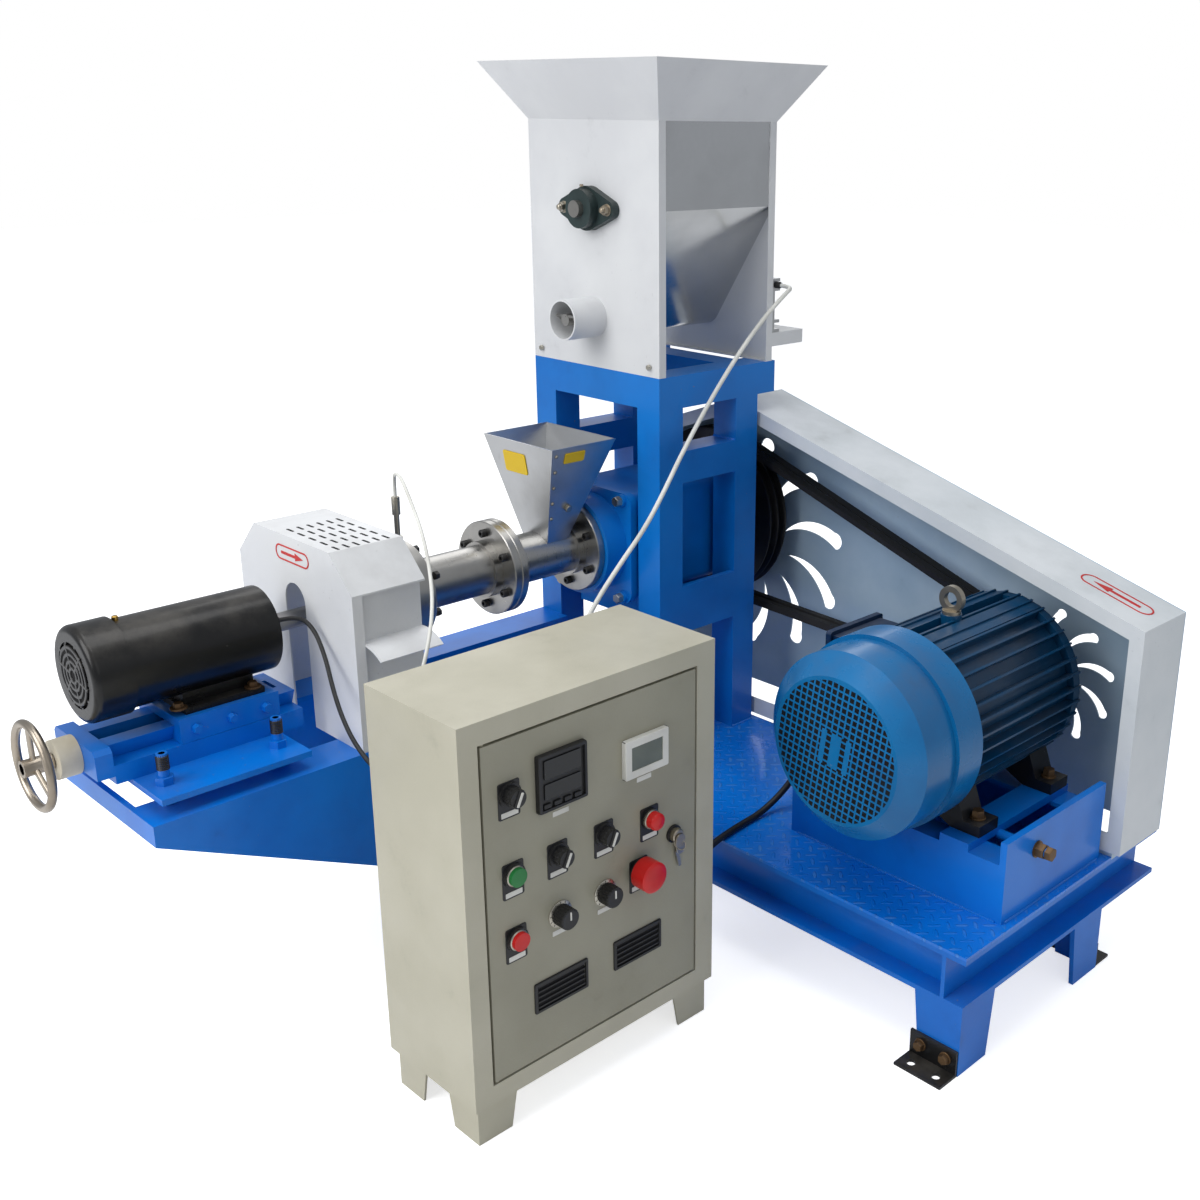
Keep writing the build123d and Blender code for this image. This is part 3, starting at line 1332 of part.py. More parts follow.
def lay_cable(name, radius, route):
    """A cable's tube along its route, with each bend as wide as its two runs allow."""
    ends = [Vector(*point) for point in route]
    runs = [after - before for before, after in zip(ends, ends[1:])]
    bends = []
    for before, after in zip(runs, runs[1:]):
        half_turn = radians(before.get_angle(after)) / 2
        bends.append(0.45 * min(before.length, after.length) / tan(half_turn))
    with BuildPart() as tube:
        with BuildLine() as path:
            FilletPolyline(*route, radius=bends)
        with BuildSketch(Plane(origin=route[0], z_dir=runs[0])) as section:
            Circle(radius)
        sweep(section.sketch, path=path.wire())
    length = path.wire().length
    print(name, "length", round(length), "tightest bend", round(min(bends), 1),
          "volume ratio", round(tube.part.volume / (pi * radius**2 * length), 4))
    keep(tube, name)


for name, radius, route in cables:
    lay_cable(name, radius, route)

# Everything moves so that the origin is the middle of the footprint, on the floor

corners = [piece.bounding_box() for piece in pieces.values()]
low_x, high_x = min(b.min.X for b in corners), max(b.max.X for b in corners)
low_y, high_y = min(b.min.Y for b in corners), max(b.max.Y for b in corners)
low_z, high_z = min(b.min.Z for b in corners), max(b.max.Z for b in corners)
shift = Vector(-(low_x + high_x) / 2, -(low_y + high_y) / 2, -low_z)
print("size", high_x - low_x, high_y - low_y, high_z - low_z)
print("shift", shift.X, shift.Y, shift.Z)

os.makedirs("parts", exist_ok=True)
for name, piece in pieces.items():
    placed = piece.moved(Location(shift))
    placed.label = name
    export_step(placed, f"parts/{name}.step")
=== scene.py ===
# %% [markdown]
# # Dressing a single-screw feed pellet extruder
# The solid model of the machine arrives as a fixed frame: every sheet, casting and pulley already has
# its shape and its place. What is missing is what the eye reads first, the enamel, the brushed sheet,
# the bolt heads, the punched grille. Each step below says what a thing is on the real machine and why
# it is made the way it is. All drawing sizes are millimetres from the corner of the stand, and one
# helper turns them into the metres of the scene.

# %% Load the frame
import math

import bpy
import numpy as np
from mathutils import Matrix


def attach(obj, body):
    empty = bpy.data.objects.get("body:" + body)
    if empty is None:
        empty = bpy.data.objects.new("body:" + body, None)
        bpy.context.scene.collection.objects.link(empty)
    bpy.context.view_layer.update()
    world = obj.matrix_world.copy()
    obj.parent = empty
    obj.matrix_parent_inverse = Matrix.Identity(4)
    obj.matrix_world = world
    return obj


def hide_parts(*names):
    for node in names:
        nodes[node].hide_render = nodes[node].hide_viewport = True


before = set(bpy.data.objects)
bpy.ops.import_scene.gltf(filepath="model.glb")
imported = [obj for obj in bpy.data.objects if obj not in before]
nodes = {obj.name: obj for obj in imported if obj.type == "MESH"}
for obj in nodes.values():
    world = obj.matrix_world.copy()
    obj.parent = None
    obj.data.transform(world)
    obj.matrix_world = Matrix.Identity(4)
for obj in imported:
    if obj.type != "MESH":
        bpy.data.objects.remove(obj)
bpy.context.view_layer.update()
stand_corner = np.array([277.0, 180.5, 0.0])


def at(*millimetres):
    """Scene metres of one or more drawing points: (point + stand corner) / 1000."""
    return (np.asarray(millimetres, dtype=float) + stand_corner) / 1000


# %% [markdown]
# The picture was taken from the cabinet's corner, a little above the barrel and turned down by about
# 19 degrees. The three axes of a camera follow from its heading, its pitch and a slight roll, so they
# are worked out instead of being dialled in. The lens looks past the middle of the frame, and the
# camera's shift carries that.

# %% Camera
heading, pitch, roll = 0.7607, 0.3251, 0.0141
level_right = np.array([math.sin(heading), -math.cos(heading), 0])
forward = np.array([
    math.cos(pitch) * math.cos(heading), math.cos(pitch) * math.sin(heading), -math.sin(pitch)
])
level_up = np.cross(level_right, forward)
right = level_right * math.cos(roll) + level_up * math.sin(roll)
up = level_up * math.cos(roll) - level_right * math.sin(roll)
lens = bpy.data.cameras.new("photo_lens")
lens.sensor_width, lens.lens = 36, 41.8
lens.shift_x, lens.shift_y = -0.108, -0.0114
camera = bpy.data.objects.new("photo_camera", lens)
bpy.context.scene.collection.objects.link(camera)
placed = np.eye(4)
placed[:3, 0], placed[:3, 1], placed[:3, 2] = right, up, -forward
placed[:3, 3] = (-1.1628, -1.3423, 1.1818)
camera.matrix_world = Matrix(placed.tolist())
bpy.context.scene.camera = camera
print("camera looks along", forward.round(3))

# %% [markdown]
# Light comes from a pale sky and four broad lamps, so a colour shows about as it was mixed. The sky is
# brighter overhead than at the horizon, which gives the bare steel something to mirror. The floor is a
# large pale sheet that belongs to the room, not to the machine.

# %% Sky, lamps and floor
world = bpy.data.worlds.new("room")
bpy.context.scene.world = world
world.use_nodes = True
sky_nodes, sky_links = world.node_tree.nodes, world.node_tree.links
lit_sky, seen_sky = sky_nodes["Background"], sky_nodes.new("ShaderNodeBackground")
lit_sky.inputs["Color"].default_value = (0.9, 0.94, 1.0, 1)
lit_sky.inputs["Strength"].default_value = 0.44
seen_sky.inputs["Color"].default_value = (1, 1, 1, 1)
rays, either, blend = (sky_nodes.new("ShaderNode" + kind) for kind in ("LightPath", "Math", "MixShader"))
either.operation = "MAXIMUM"
sky_links.new(rays.outputs["Is Camera Ray"], either.inputs[0])
sky_links.new(rays.outputs["Is Transmission Ray"], either.inputs[1])
sky_links.new(either.outputs[0], blend.inputs["Fac"])
sky_links.new(lit_sky.outputs[0], blend.inputs[1])
sky_links.new(seen_sky.outputs[0], blend.inputs[2])
sky_links.new(blend.outputs[0], sky_nodes["World Output"].inputs["Surface"])
bpy.context.scene.view_settings.view_transform = "Standard"


def lamp(name, place, target, width, watts):
    """A square soft lamp: its -Z axis runs from its place to its target."""
    light = bpy.data.lights.new(name, "AREA")
    light.size, light.energy = width, watts
    holder = bpy.data.objects.new(name, light)
    bpy.context.scene.collection.objects.link(holder)
    back = np.array(place, dtype=float) - np.array(target, dtype=float)
    back /= np.linalg.norm(back)
    side = np.cross((0, 0, 1), back)
    side /= np.linalg.norm(side)
    grid = np.eye(4)
    grid[:3, 0], grid[:3, 1], grid[:3, 2], grid[:3, 3] = side, np.cross(back, side), back, place
    holder.matrix_world = Matrix(grid.tolist())


lamp("window_lamp", (-3.4, 0.5, 2.6), (0, 0, 0.5), 2.6, 92)
lamp("yard_lamp", (-0.4, -3.4, 2.6), (0.1, 0, 0.6), 2.4, 9)
lamp("far_lamp", (2.2, 2.4, 2.6), (0.1, 0, 0.5), 2.2, 26)
lamp("roof_lamp", (-0.2, 0.2, 3.6), (0, 0.01, 0.5), 2.4, 46)

floor_mesh = bpy.data.meshes.new("floor")
floor_mesh.from_pydata([(-14, -14, 0), (14, -14, 0), (14, 14, 0), (-14, 14, 0)], [], [(0, 1, 2, 3)])
floor = bpy.data.objects.new("floor", floor_mesh)
bpy.context.scene.collection.objects.link(floor)
floor_paint = bpy.data.materials.new("pale_floor")
floor_paint.use_nodes = True
floor_shader = floor_paint.node_tree.nodes["Principled BSDF"]
floor_shader.inputs["Base Color"].default_value = (0.9, 0.9, 0.9, 1)
floor_shader.inputs["Roughness"].default_value = 0.7
seen = floor_paint.node_tree.nodes.new("ShaderNodeLightPath")
glow = floor_paint.node_tree.nodes.new("ShaderNodeMath")
glow.operation, glow.inputs[1].default_value = "MULTIPLY", 0.66
floor_paint.node_tree.links.new(seen.outputs["Is Camera Ray"], glow.inputs[0])
floor_paint.node_tree.links.new(glow.outputs[0], floor_shader.inputs["Emission Strength"])
floor_shader.inputs["Emission Color"].default_value = (1, 1, 1, 1)
floor_mesh.materials.append(floor_paint)

# %% [markdown]
# A shader is arithmetic on wires between nodes. Writing it as arithmetic keeps it readable: a small
# class wraps one socket, and adding or multiplying two wrapped sockets adds the Math node that does
# it. Every other node comes from one method that takes its type, its settings and its inputs.

# %% The wire class and the finish
class Wire:
    """One socket of a finish; + - * / < make Math nodes, and a number may stand left of a minus."""

    def __init__(self, finish, socket):
        self.finish, self.socket = finish, socket

    def sum_with(self, kind, first, second):
        return self.finish.node("ShaderNodeMath", {"operation": kind}, {0: first, 1: second})

    def __add__(self, other):
        return self.sum_with("ADD", self, other)

    def __sub__(self, other):
        return self.sum_with("SUBTRACT", self, other)

    def __rsub__(self, other):
        return self.sum_with("SUBTRACT", other, self)

    def __mul__(self, other):
        return self.sum_with("MULTIPLY", self, other)

    def __truediv__(self, other):
        return self.sum_with("DIVIDE", self, other)

    def __lt__(self, other):
        return self.sum_with("LESS_THAN", self, other)

    def step(self, low, high):
        """A smooth ramp from 0 at low to 1 at high."""
        return self.finish.node(
            "ShaderNodeMapRange", {"interpolation_type": "SMOOTHSTEP"},
            {"Value": self, "From Min": low, "From Max": high},
        )

    def fraction(self):
        return self.finish.node("ShaderNodeMath", {"operation": "FRACT"}, {0: self})

    def distance(self):
        return self.finish.node("ShaderNodeMath", {"operation": "ABSOLUTE"}, {0: self})


class Finish:
    """A material for one kind of surface, drawn from where a point lies on the machine."""

    def __init__(self, name):
        self.material = bpy.data.materials.new(name)
        self.material.use_nodes = True
        self.tree = self.material.node_tree
        self.shader = self.tree.nodes["Principled BSDF"]
        self.place = self.node("ShaderNodeTexCoord", {}, {}, "Object")

    def feed(self, socket, value):
        if isinstance(value, Wire):
            self.tree.links.new(value.socket, socket)
        elif isinstance(value, tuple) and len(value) == 3 and socket.type == "RGBA":
            socket.default_value = (*value, 1)
        else:
            socket.default_value = value

    def node(self, kind, settings, inputs, output=0):
        made = self.tree.nodes.new(kind)
        for key, value in settings.items():
            setattr(made, key, value)
        for key, value in inputs.items():
            self.feed(made.inputs[key], value)
        return Wire(self, made.outputs[output])

    def noise(self, scale, detail=4, stretch=(1, 1, 1), rough=0.55):
        """Cloudy values from 0 to 1; stretch draws the clouds out along an axis."""
        where = self.node("ShaderNodeMapping", {}, {"Vector": self.place, "Scale": stretch})
        return self.node("ShaderNodeTexNoise", {}, {
            "Vector": where, "Scale": scale, "Detail": detail, "Roughness": rough})

    def axis(self, letter):
        return self.node("ShaderNodeSeparateXYZ", {}, {"Vector": self.place}, letter)

    def facing_up(self):
        """1 where the surface faces the sky."""
        normal = self.node("ShaderNodeNewGeometry", {}, {}, "Normal")
        return self.node("ShaderNodeSeparateXYZ", {}, {"Vector": normal}, "Z")

    def mix(self, share, first, second):
        made = self.tree.nodes.new("ShaderNodeMix")
        made.data_type = "RGBA"
        for socket, value in ((made.inputs[0], share), (made.inputs[6], first), (made.inputs[7], second)):
            self.feed(socket, value)
        return Wire(self, made.outputs[2])

    def bump(self, height, depth, distance=0.001):
        self.feed(self.shader.inputs["Normal"], self.node("ShaderNodeBump", {}, {
            "Height": height, "Strength": depth, "Distance": distance}, "Normal"))

    def set(self, **values):
        for key, value in values.items():
            self.feed(self.shader.inputs[key.replace("_", " ")], value)
        return self.material


def to_linear(red, green, blue):
    """Screen values from 0 to 255 as the light values that a shader mixes."""
    value = np.array([red, green, blue]) / 255
    curved = ((value + 0.055) / 1.055) ** 2.4
    return tuple(float(v) for v in np.where(value <= 0.04045, value / 12.92, curved))


print("royal blue mixes as", to_linear(28, 74, 172))

# %% [markdown]
# Sprayed enamel is one colour only from far away. Close up it has soft clouds where the coat is thin,
# an orange-peel surface that shows in the highlights, workshop dust lying on faces that look up, and
# chips down to the metal. One recipe with these four layers serves every painted piece of the
# machine; the pieces differ in colour, gloss, dust and chips.

# %% Painted finishes
dust_tone = to_linear(142, 136, 126)
bare_tone = to_linear(120, 118, 116)


def enamel(name, colour, thin, gloss=0.3, dust=0.35, chips=0.5, peel=0.12, punched=None):
    """Colour + clouds of the thin coat + dust times how far the face looks up + chips where fine noise peaks.
    punched gives the mask of the holes in a grille, which are painted dark: painted shade inside the holes."""
    paint = Finish(name)
    clouds = paint.noise(5.5, 5)
    grime = paint.noise(11, 7, rough=0.65)
    dusty = paint.facing_up().step(0.2, 0.95) * grime.step(0.38, 0.72) * dust
    chipped = paint.noise(150, 3).step(0.70, 0.73) * paint.noise(7, 2).step(0.5, 0.62) * chips
    tone = paint.mix(clouds.step(0.35, 0.68), to_linear(*colour), to_linear(*thin))
    tone = paint.mix(grime.step(0.6, 0.8) * 0.25, tone, to_linear(*[v * 0.55 for v in thin]))
    tone = paint.mix(dusty, tone, dust_tone)
    tone = paint.mix(chipped, tone, bare_tone)
    relief = paint.noise(260, 2) - chipped * 1.5
    if punched:
        holes = punched(paint)
        # painted shade: the grille's holes take a near-black for the shade inside the cowl
        tone = paint.mix(holes, tone, to_linear(14, 20, 26))
        relief = relief - holes * 4
    paint.bump(relief, peel, 0.0006)
    return paint.set(
        Base_Color=tone, Roughness=clouds * 0.14 + dusty * 0.5 + gloss, Specular_IOR_Level=0.32,
        Coat_Weight=0.15, Coat_Roughness=0.12,
    )


def fan_grille(paint):
    """Square holes every 9.6 mm, turned by 8 degrees, within 97 mm of the motor's axis on its end."""
    y, z = paint.axis("Y") + 0.3145, paint.axis("Z") - 0.407
    u, v = y * 0.990 + z * 0.139, z * 0.990 - y * 0.139
    square = ((u / 0.0096 + 50).fraction() - 0.5).distance() < 0.36
    across = ((v / 0.0096 + 50).fraction() - 0.5).distance() < 0.36
    boss = (u.distance() < 0.0245) * (v.distance() < 0.0245)
    fine = ((u / 0.0245 + 50).fraction() - 0.5).distance() < 0.16
    near = (y * y + z * z) < 0.0094
    end = paint.axis("X") < 0.1176
    return (square * across * (1 - boss) + boss * fine * across) * near * end


finishes = {
    "blue": enamel("azure_blue_enamel", (2, 118, 216), (2, 102, 196), gloss=0.24, dust=0.08),
    "stand_blue": enamel("stand_blue_enamel", (4, 120, 208), (3, 104, 188), gloss=0.3, dust=0.08),
    "motor_blue": enamel("motor_teal_enamel", (4, 66, 104), (4, 50, 82), gloss=0.24, dust=0.15, chips=0.2),
    "motor_cowl": enamel("motor_cowl_enamel", (12, 112, 172), (9, 94, 150), gloss=0.2, dust=0.12, chips=0.2,
                         punched=fan_grille),
    "navy": enamel("terminal_box_navy", (18, 44, 76), (13, 34, 60), gloss=0.3, dust=0.2, chips=0.2),
    "guard": enamel("guard_white_enamel", (216, 220, 223), (204, 210, 214), gloss=0.3, dust=0.12, chips=0.2),
    # painted shade: the guard's back and supports take its white made darker and bluer, as the shaded inside of
    # the guard
    "guard_in_shade": enamel("guard_white_enamel_painted_shade", (178, 198, 212), (160, 184, 202), gloss=0.26, dust=0.1,
                          chips=0.2),
    "cover": enamel("cover_white_enamel", (226, 227, 228), (214, 215, 216), gloss=0.3, dust=0.15, chips=0.2),
    "hopper": enamel("hopper_grey_enamel", (219, 220, 221), (210, 211, 213), gloss=0.36, dust=0.1, chips=0.12),
    "cabinet": enamel("cabinet_beige_coat", (188, 184, 166), (180, 176, 157), gloss=0.46, dust=0.08,
                      chips=0.05, peel=0.3),
    # painted shade: the door and the back plate take the cabinet's beige made darker, as on the faces turned away
    # from the main lamp
    "door": enamel("door_cabinet_beige_painted_shade", (158, 155, 138), (150, 147, 130), gloss=0.46, dust=0.05,
                   chips=0.05, peel=0.3),
    "black": enamel("gloss_black_enamel", (20, 20, 21), (13, 13, 14), gloss=0.2, dust=0.2, chips=0.2),
    # painted highlight: a lighter black for the hoops and ribs of the fan cover, standing in for the light caught
    # on their edges
    "black_edge": enamel("black_moulding_painted_highlight", (46, 46, 48), (32, 32, 34), gloss=0.24, dust=0.3, chips=0.2),
    "foot_black": enamel("black_motor_feet", (26, 28, 32), (18, 19, 22), gloss=0.4, dust=0.4, chips=0.4),
    "bearing": enamel("bearing_green_grey", (46, 62, 62), (34, 47, 47), gloss=0.4, dust=0.2, chips=0.4, peel=0.4),
    "yellow": enamel("bare_yellow_plate", (240, 206, 20), (232, 192, 14), gloss=0.4, dust=0.1, chips=0.1),
    "red": enamel("red_marking", (206, 36, 32), (188, 28, 28), gloss=0.4, dust=0.1, chips=0.3),
}
print(len(finishes), "painted finishes")

# %% [markdown]
# Bare metal is told apart by its scratches. Sheet is brushed along its length, turned bars carry
# rings round their axis, a casting is blotchy and dull. The same noise, stretched along or round the
# direction of the tool, moves the roughness, and the highlights then break up as on the real metal.

# %% Bare metals, rubber and plastic
def bare_metal(name, colour, stain, rough=0.3, stretch=(1, 1, 12), grain=30, stains=0.45, metallic=1.0):
    """Metal whose roughness follows long scratches, with clouds of stain and handling marks."""
    metal = Finish(name)
    scratches = metal.noise(grain, 6, stretch, 0.7)
    clouds = metal.noise(6, 5)
    spots = metal.noise(38, 5).step(0.62, 0.78)
    stained = clouds.step(0.45, 0.75) * stains + spots * (stains * 0.5)
    tone = metal.mix(stained, to_linear(*colour), to_linear(*stain))
    metal.bump(scratches, 0.1, 0.0004)
    return metal.set(
        Base_Color=tone, Metallic=metallic, Roughness=scratches * 0.22 + stained * 0.25 + (rough - 0.11),
    )


def moulded(name, colour, second, rough=0.45, grain=300, depth=0.1):
    """Plastic or rubber: a plain tone with faint clouds and a fine moulded grain."""
    stuff = Finish(name)
    clouds = stuff.noise(14, 4)
    stuff.bump(stuff.noise(grain, 2), depth, 0.0004)
    return stuff.set(
        Base_Color=stuff.mix(clouds.step(0.35, 0.7), to_linear(*colour), to_linear(*second)),
        Roughness=clouds * 0.15 + rough,
    )


finishes.update({
    "sheet": bare_metal("brushed_stainless_sheet", (196, 197, 198), (150, 148, 143), 0.32, (1, 10, 1), 26),
    "mirror": bare_metal("polished_trough_sheet", (206, 207, 208), (168, 168, 168), 0.16, (1, 6, 1), 16, 0.3),
    "turned": bare_metal("turned_steel", (176, 174, 170), (112, 106, 98), 0.3, (14, 1, 1), 40),
    "milled": bare_metal("milled_steel", (150, 150, 150), (92, 88, 84), 0.34, (1, 8, 1), 34),
    "dark_iron": bare_metal("dark_oiled_iron", (74, 74, 76), (40, 38, 36), 0.42, (1, 1, 1), 40, 0.6),
    "wheel": bare_metal("worn_wheel_metal", (176, 166, 152), (112, 96, 76), 0.32, (1, 1, 1), 60, 0.55),
    "bright": bare_metal("zinc_plated_fasteners", (186, 182, 170), (130, 108, 78), 0.3, (1, 1, 1), 60, 0.6),
    "brown": bare_metal("brown_old_bolts", (112, 88, 62), (70, 48, 30), 0.5, (1, 1, 1), 80, 0.7, 0.8),
    "brass": bare_metal("brass_screws", (196, 160, 84), (140, 104, 48), 0.3, (1, 1, 1), 80, 0.5),
    "socket": moulded("black_socket_bolts", (22, 22, 23), (38, 36, 34), 0.38),
    "rubber": moulded("belt_rubber", (20, 20, 21), (32, 31, 30), 0.7, 500, 0.3),
    "cable_black": moulded("black_cable_sheath", (18, 18, 19), (30, 30, 31), 0.45),
    "cable_white": moulded("white_cable_sheath", (226, 226, 220), (206, 205, 198), 0.42),
    "bezel": moulded("black_bezel_plastic", (22, 22, 23), (34, 34, 35), 0.36),
    "white_plastic": moulded("white_meter_frame", (222, 221, 214), (206, 204, 196), 0.4),
    "window": moulded("dark_display_window", (14, 17, 20), (20, 24, 28), 0.08, 30, 0.0),
    "meter_glass": moulded("grey_meter_window", (96, 104, 96), (84, 92, 86), 0.12, 30, 0.0),
    "cap_red": moulded("red_button_caps", (206, 24, 22), (184, 18, 18), 0.28, 200, 0.03),
    "cap_green": moulded("green_button_caps", (28, 128, 60), (22, 108, 50), 0.28, 200, 0.03),
    "bush": moulded("cream_nylon_bush", (214, 206, 186), (190, 180, 158), 0.5),
    # painted shade: a near-black for the flat plates that stand in for the shade inside vents, louvres and the fan
    # cover
    "hole": moulded("painted_shade_of_the_holes", (10, 10, 11), (16, 16, 17), 0.9),
})
print(len(finishes), "finishes in all")

# %% [markdown]
# The deck is tread plate: small raised lozenges in pairs that lean to the left and to the right in
# turn. They are too many to be solids, so they are a height in the finish: the fraction of x and y in
# a cell of 26 mm gives each point its place in its cell, and an ellipse turned by 45 degrees is the
# lozenge. Feet have polished their tops.

# %% Tread plate
def tread_plate():
    """Lozenge mask = 1 where (along / 9 mm)^2 + (across / 2.6 mm)^2 < 1, two leans in a checker of cells."""
    deck = Finish("tread_plate_enamel")
    cell = 0.026
    marks = None
    for shift, lean in ((0.0, 1), (0.5, -1)):
        u = (deck.axis("X") / cell + 50 + shift).fraction() - 0.5
        v = (deck.axis("Y") / cell + 50 + shift).fraction() - 0.5
        along, across = (u + v * lean) * (cell * 707 / 9), (v - u * lean) * (cell * 707 / 2.6)
        lozenge = 1 - (along * along + across * across).step(0.55, 1.15)
        marks = lozenge if marks is None else marks + lozenge
    clouds, grime = deck.noise(5, 5), deck.noise(12, 7, rough=0.65)
    worn = marks * grime.step(0.45, 0.6)
    tone = deck.mix(clouds.step(0.35, 0.7), to_linear(2, 128, 234), to_linear(2, 110, 212))
    tone = deck.mix(grime.step(0.5, 0.8) * 0.5 * (1 - marks), tone, to_linear(60, 104, 160))
    tone = deck.mix(worn * 0.55, tone, to_linear(84, 146, 214))
    deck.bump(marks, 0.7, 0.0016)
    return deck.set(Base_Color=tone, Roughness=grime * 0.3 + 0.16, Coat_Weight=0.3, Coat_Roughness=0.1)


finishes["deck"] = tread_plate()

# %% [markdown]
# Every solid of the frame now gets its finish. The table below is the machine's paint list.

# %% Paint list
paint_list = {
    "blue": ["base_channels", "base_feet", "cantilever", "slide_base_plate", "slide_base", "slide_end_block",
             "cutter_carriage", "motor_frame"],
    "stand_blue": ["stand_posts", "stand_mid_rails", "stand_top_frame", "housing_shelf", "bearing_housing",
                   "housing_cover"],
    "deck": ["deck_plate"],
    "black": ["floor_brackets", "feed_gear_case", "feed_motor", "cutter_motor", "cutter_motor_cowl"],
    "turned": ["rear_barrel", "front_barrel", "die_head", "drive_shaft", "agitator", "feed_shaft"],
    "sheet": ["inlet_hopper", "inlet_hopper_ends", "feed_terminal_strip"],
    "mirror": ["hopper_trough"],
    "hopper": ["hopper_front_plate", "hopper_back_plate", "hopper_rim", "outlet_tube", "feed_shelf"],
    "bearing": ["agitator_bearings"],
    "dark_iron": ["drive_pulley", "motor_pulley"],
    "foot_black": ["main_motor_feet"],
    "rubber": ["v_belts"],
    "motor_blue": ["main_motor"],
    "motor_cowl": ["motor_cowl"],
    "navy": ["motor_terminal_box"],
    "bright": ["lifting_eye", "probe"],
    "guard": ["guard_rim"],
    # painted shade: the darker, bluer copy of the guard white
    "guard_in_shade": ["guard_back", "guard_supports"],
    "cover": ["cutter_cover"],
    "milled": ["cutter_head"],
    "wheel": ["handwheel"],
    "cabinet": ["cabinet_shell"],
    # painted shade: the darker copy of the cabinet beige on the door and the back plate
    "door": ["cabinet_door", "cabinet_back_plate"],
    "bezel": ["door_instruments", "door_controls"],
}
for finish, names in paint_list.items():
    for name in names:
        if name in nodes:
            nodes[name].data.materials.clear()
            nodes[name].data.materials.append(finishes[finish])
painted = {name for names in paint_list.values() for name in names}
bare = [name for name in nodes if not name.startswith("cord_") and name not in painted]
print("solids without a finish:", bare)

# %% [markdown]
# Four cables leave the back of the cabinet. A cable is one smooth curve that keeps its length, so it
# is a NURBS spline with a round bevel, through the same points that its plain tube follows. It leaves
# its gland straight, falls under its own weight and rests on the deck where it can.

# %% Cables
routes = {
    "hopper": ("cable_white", 0.007, [
        (262, 3, 926), (262, -33, 926), (226, -50, 920), (182, -44, 884), (134, -34, 830), (78, -28, 762),
        (20, -30, 694), (-48, -58, 646), (-118, -92, 612), (-188, -120, 584), (-244, -128, 540),
        (-278, -118, 478), (-290, -132, 430), (-290, -171, 430)]),
    "probe": ("cable_white", 0.005, [
        (-378, 148.5, 662), (-378, 148.5, 686), (-392, 124, 704), (-408, 84, 708), (-424, 40, 687),
        (-440, -8, 656), (-460, -52, 616), (-486, -92, 580), (-516, -120, 540), (-544, -130, 490),
        (-560, -138, 440), (-560, -171, 440)]),
    "cutter": ("cable_black", 0.006, [
        (-600, 108, 540), (-566, 108, 540), (-556, 86, 524), (-562, 52, 494), (-576, 14, 462),
        (-590, -28, 440), (-600, -70, 422), (-602, -112, 404), (-600, -142, 400), (-600, -171, 400)]),
    "main": ("cable_black", 0.010, [
        (62, -365, 374), (62, -365, 344), (59, -348, 318), (53, -314, 306), (44, -282, 272),
        (22, -266, 216), (-30, -258, 184), (-88, -262, 183.5), (-142, -270, 184), (-188, -280, 180),
        (-212, -280, 170), (-235, -280, 170)]),
}
for name, (finish, thickness, route) in routes.items():
    curve = bpy.data.curves.new(name + "_cable", "CURVE")
    curve.dimensions, curve.bevel_depth, curve.bevel_resolution = "3D", thickness / 2, 5
    curve.use_fill_caps = True
    spline = curve.splines.new("NURBS")
    spline.points.add(len(route) - 1)
    placed = np.column_stack([at(*route), np.ones(len(route))])
    spline.points.foreach_set("co", placed.ravel())
    spline.use_endpoint_u, spline.order_u, spline.resolution_u = True, 3, 10
    cable = bpy.data.objects.new(name + "_cable", curve)
    bpy.context.scene.collection.objects.link(cable)
    curve.materials.append(finishes[finish])
    if "cord_" + name in nodes:
        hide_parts("cord_" + name)
        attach(cable, "machine")
print("cables:", ", ".join(routes))

# %% [markdown]
# Most of what is still missing is small and repeated: bolt heads, rivets, knobs, plates, perforations.
# They are all stacks of one outline: a rounded rectangle (a circle when its corner is as large as its
# half sides, a hexagon when it has six points), drawn in a little from step to step and joined by
# sides. The outline is a function of one angle, and its outward direction is known, so a chamfer is a
# step that is both drawn in and raised.

# %% Stacks of an outline
def outline(half_w, half_h, corner, count=24, turn=0.0):
    """A function of how far the line is drawn in: corner centre + corner * (cos t, sin t) round the circle."""
    t = (np.arange(count) + 0.5) / count * 2 * np.pi + turn
    out = np.stack([np.cos(t), np.sin(t)], axis=1)

    def drawn_in(inset):
        left = max(corner - inset, 0.15)
        return np.sign(out.round(9)) * (half_w - inset - left, half_h - inset - left) + left * out

    return drawn_in


def disc(radius, count=24, turn=0.0):
    return outline(radius, radius, radius, count, turn)


def stack(shape, steps, hollow=False):
    """One ring for each (drawn in, raised) step, joined by sides; a hollow stack closes on itself."""
    rings = [np.column_stack([shape(inset), np.full(len(shape(0)), height)]) for inset, height in steps]
    count, last = len(rings[0]), len(rings)
    i = np.arange(count)
    j = (i + 1) % count
    rows = range(last if hollow else last - 1)
    sides = [np.stack([i + r * count, j + r * count, j + (r + 1) % last * count, i + (r + 1) % last * count], 1)
             for r in rows]
    faces = np.concatenate(sides).tolist()
    if not hollow:
        faces += [i[::-1].tolist(), (i + (last - 1) * count).tolist()]
    return np.concatenate(rings), faces


def placed_copies(solid, places, normal, upward=None):
    """Every vertex as place + x * across + y * upward + z * normal, for all the places at once."""
    points, faces = solid
    n = np.array(normal, float) / np.linalg.norm(normal)
    if upward is None:
        upward = (0, 1, 0) if abs(n[2]) > 0.9 else (0, 0, 1)
    v = np.array(upward, float) - np.dot(upward, n) * n
    v /= np.linalg.norm(v)
    basis = np.stack([np.cross(v, n), v, n])
    places = np.atleast_2d(np.array(places, float))
    everywhere = (points @ basis)[None] + places[:, None]
    many = [[index + k * len(points) for index in face] for k in range(len(places)) for face in faces]
    return everywhere.reshape(-1, 3), many


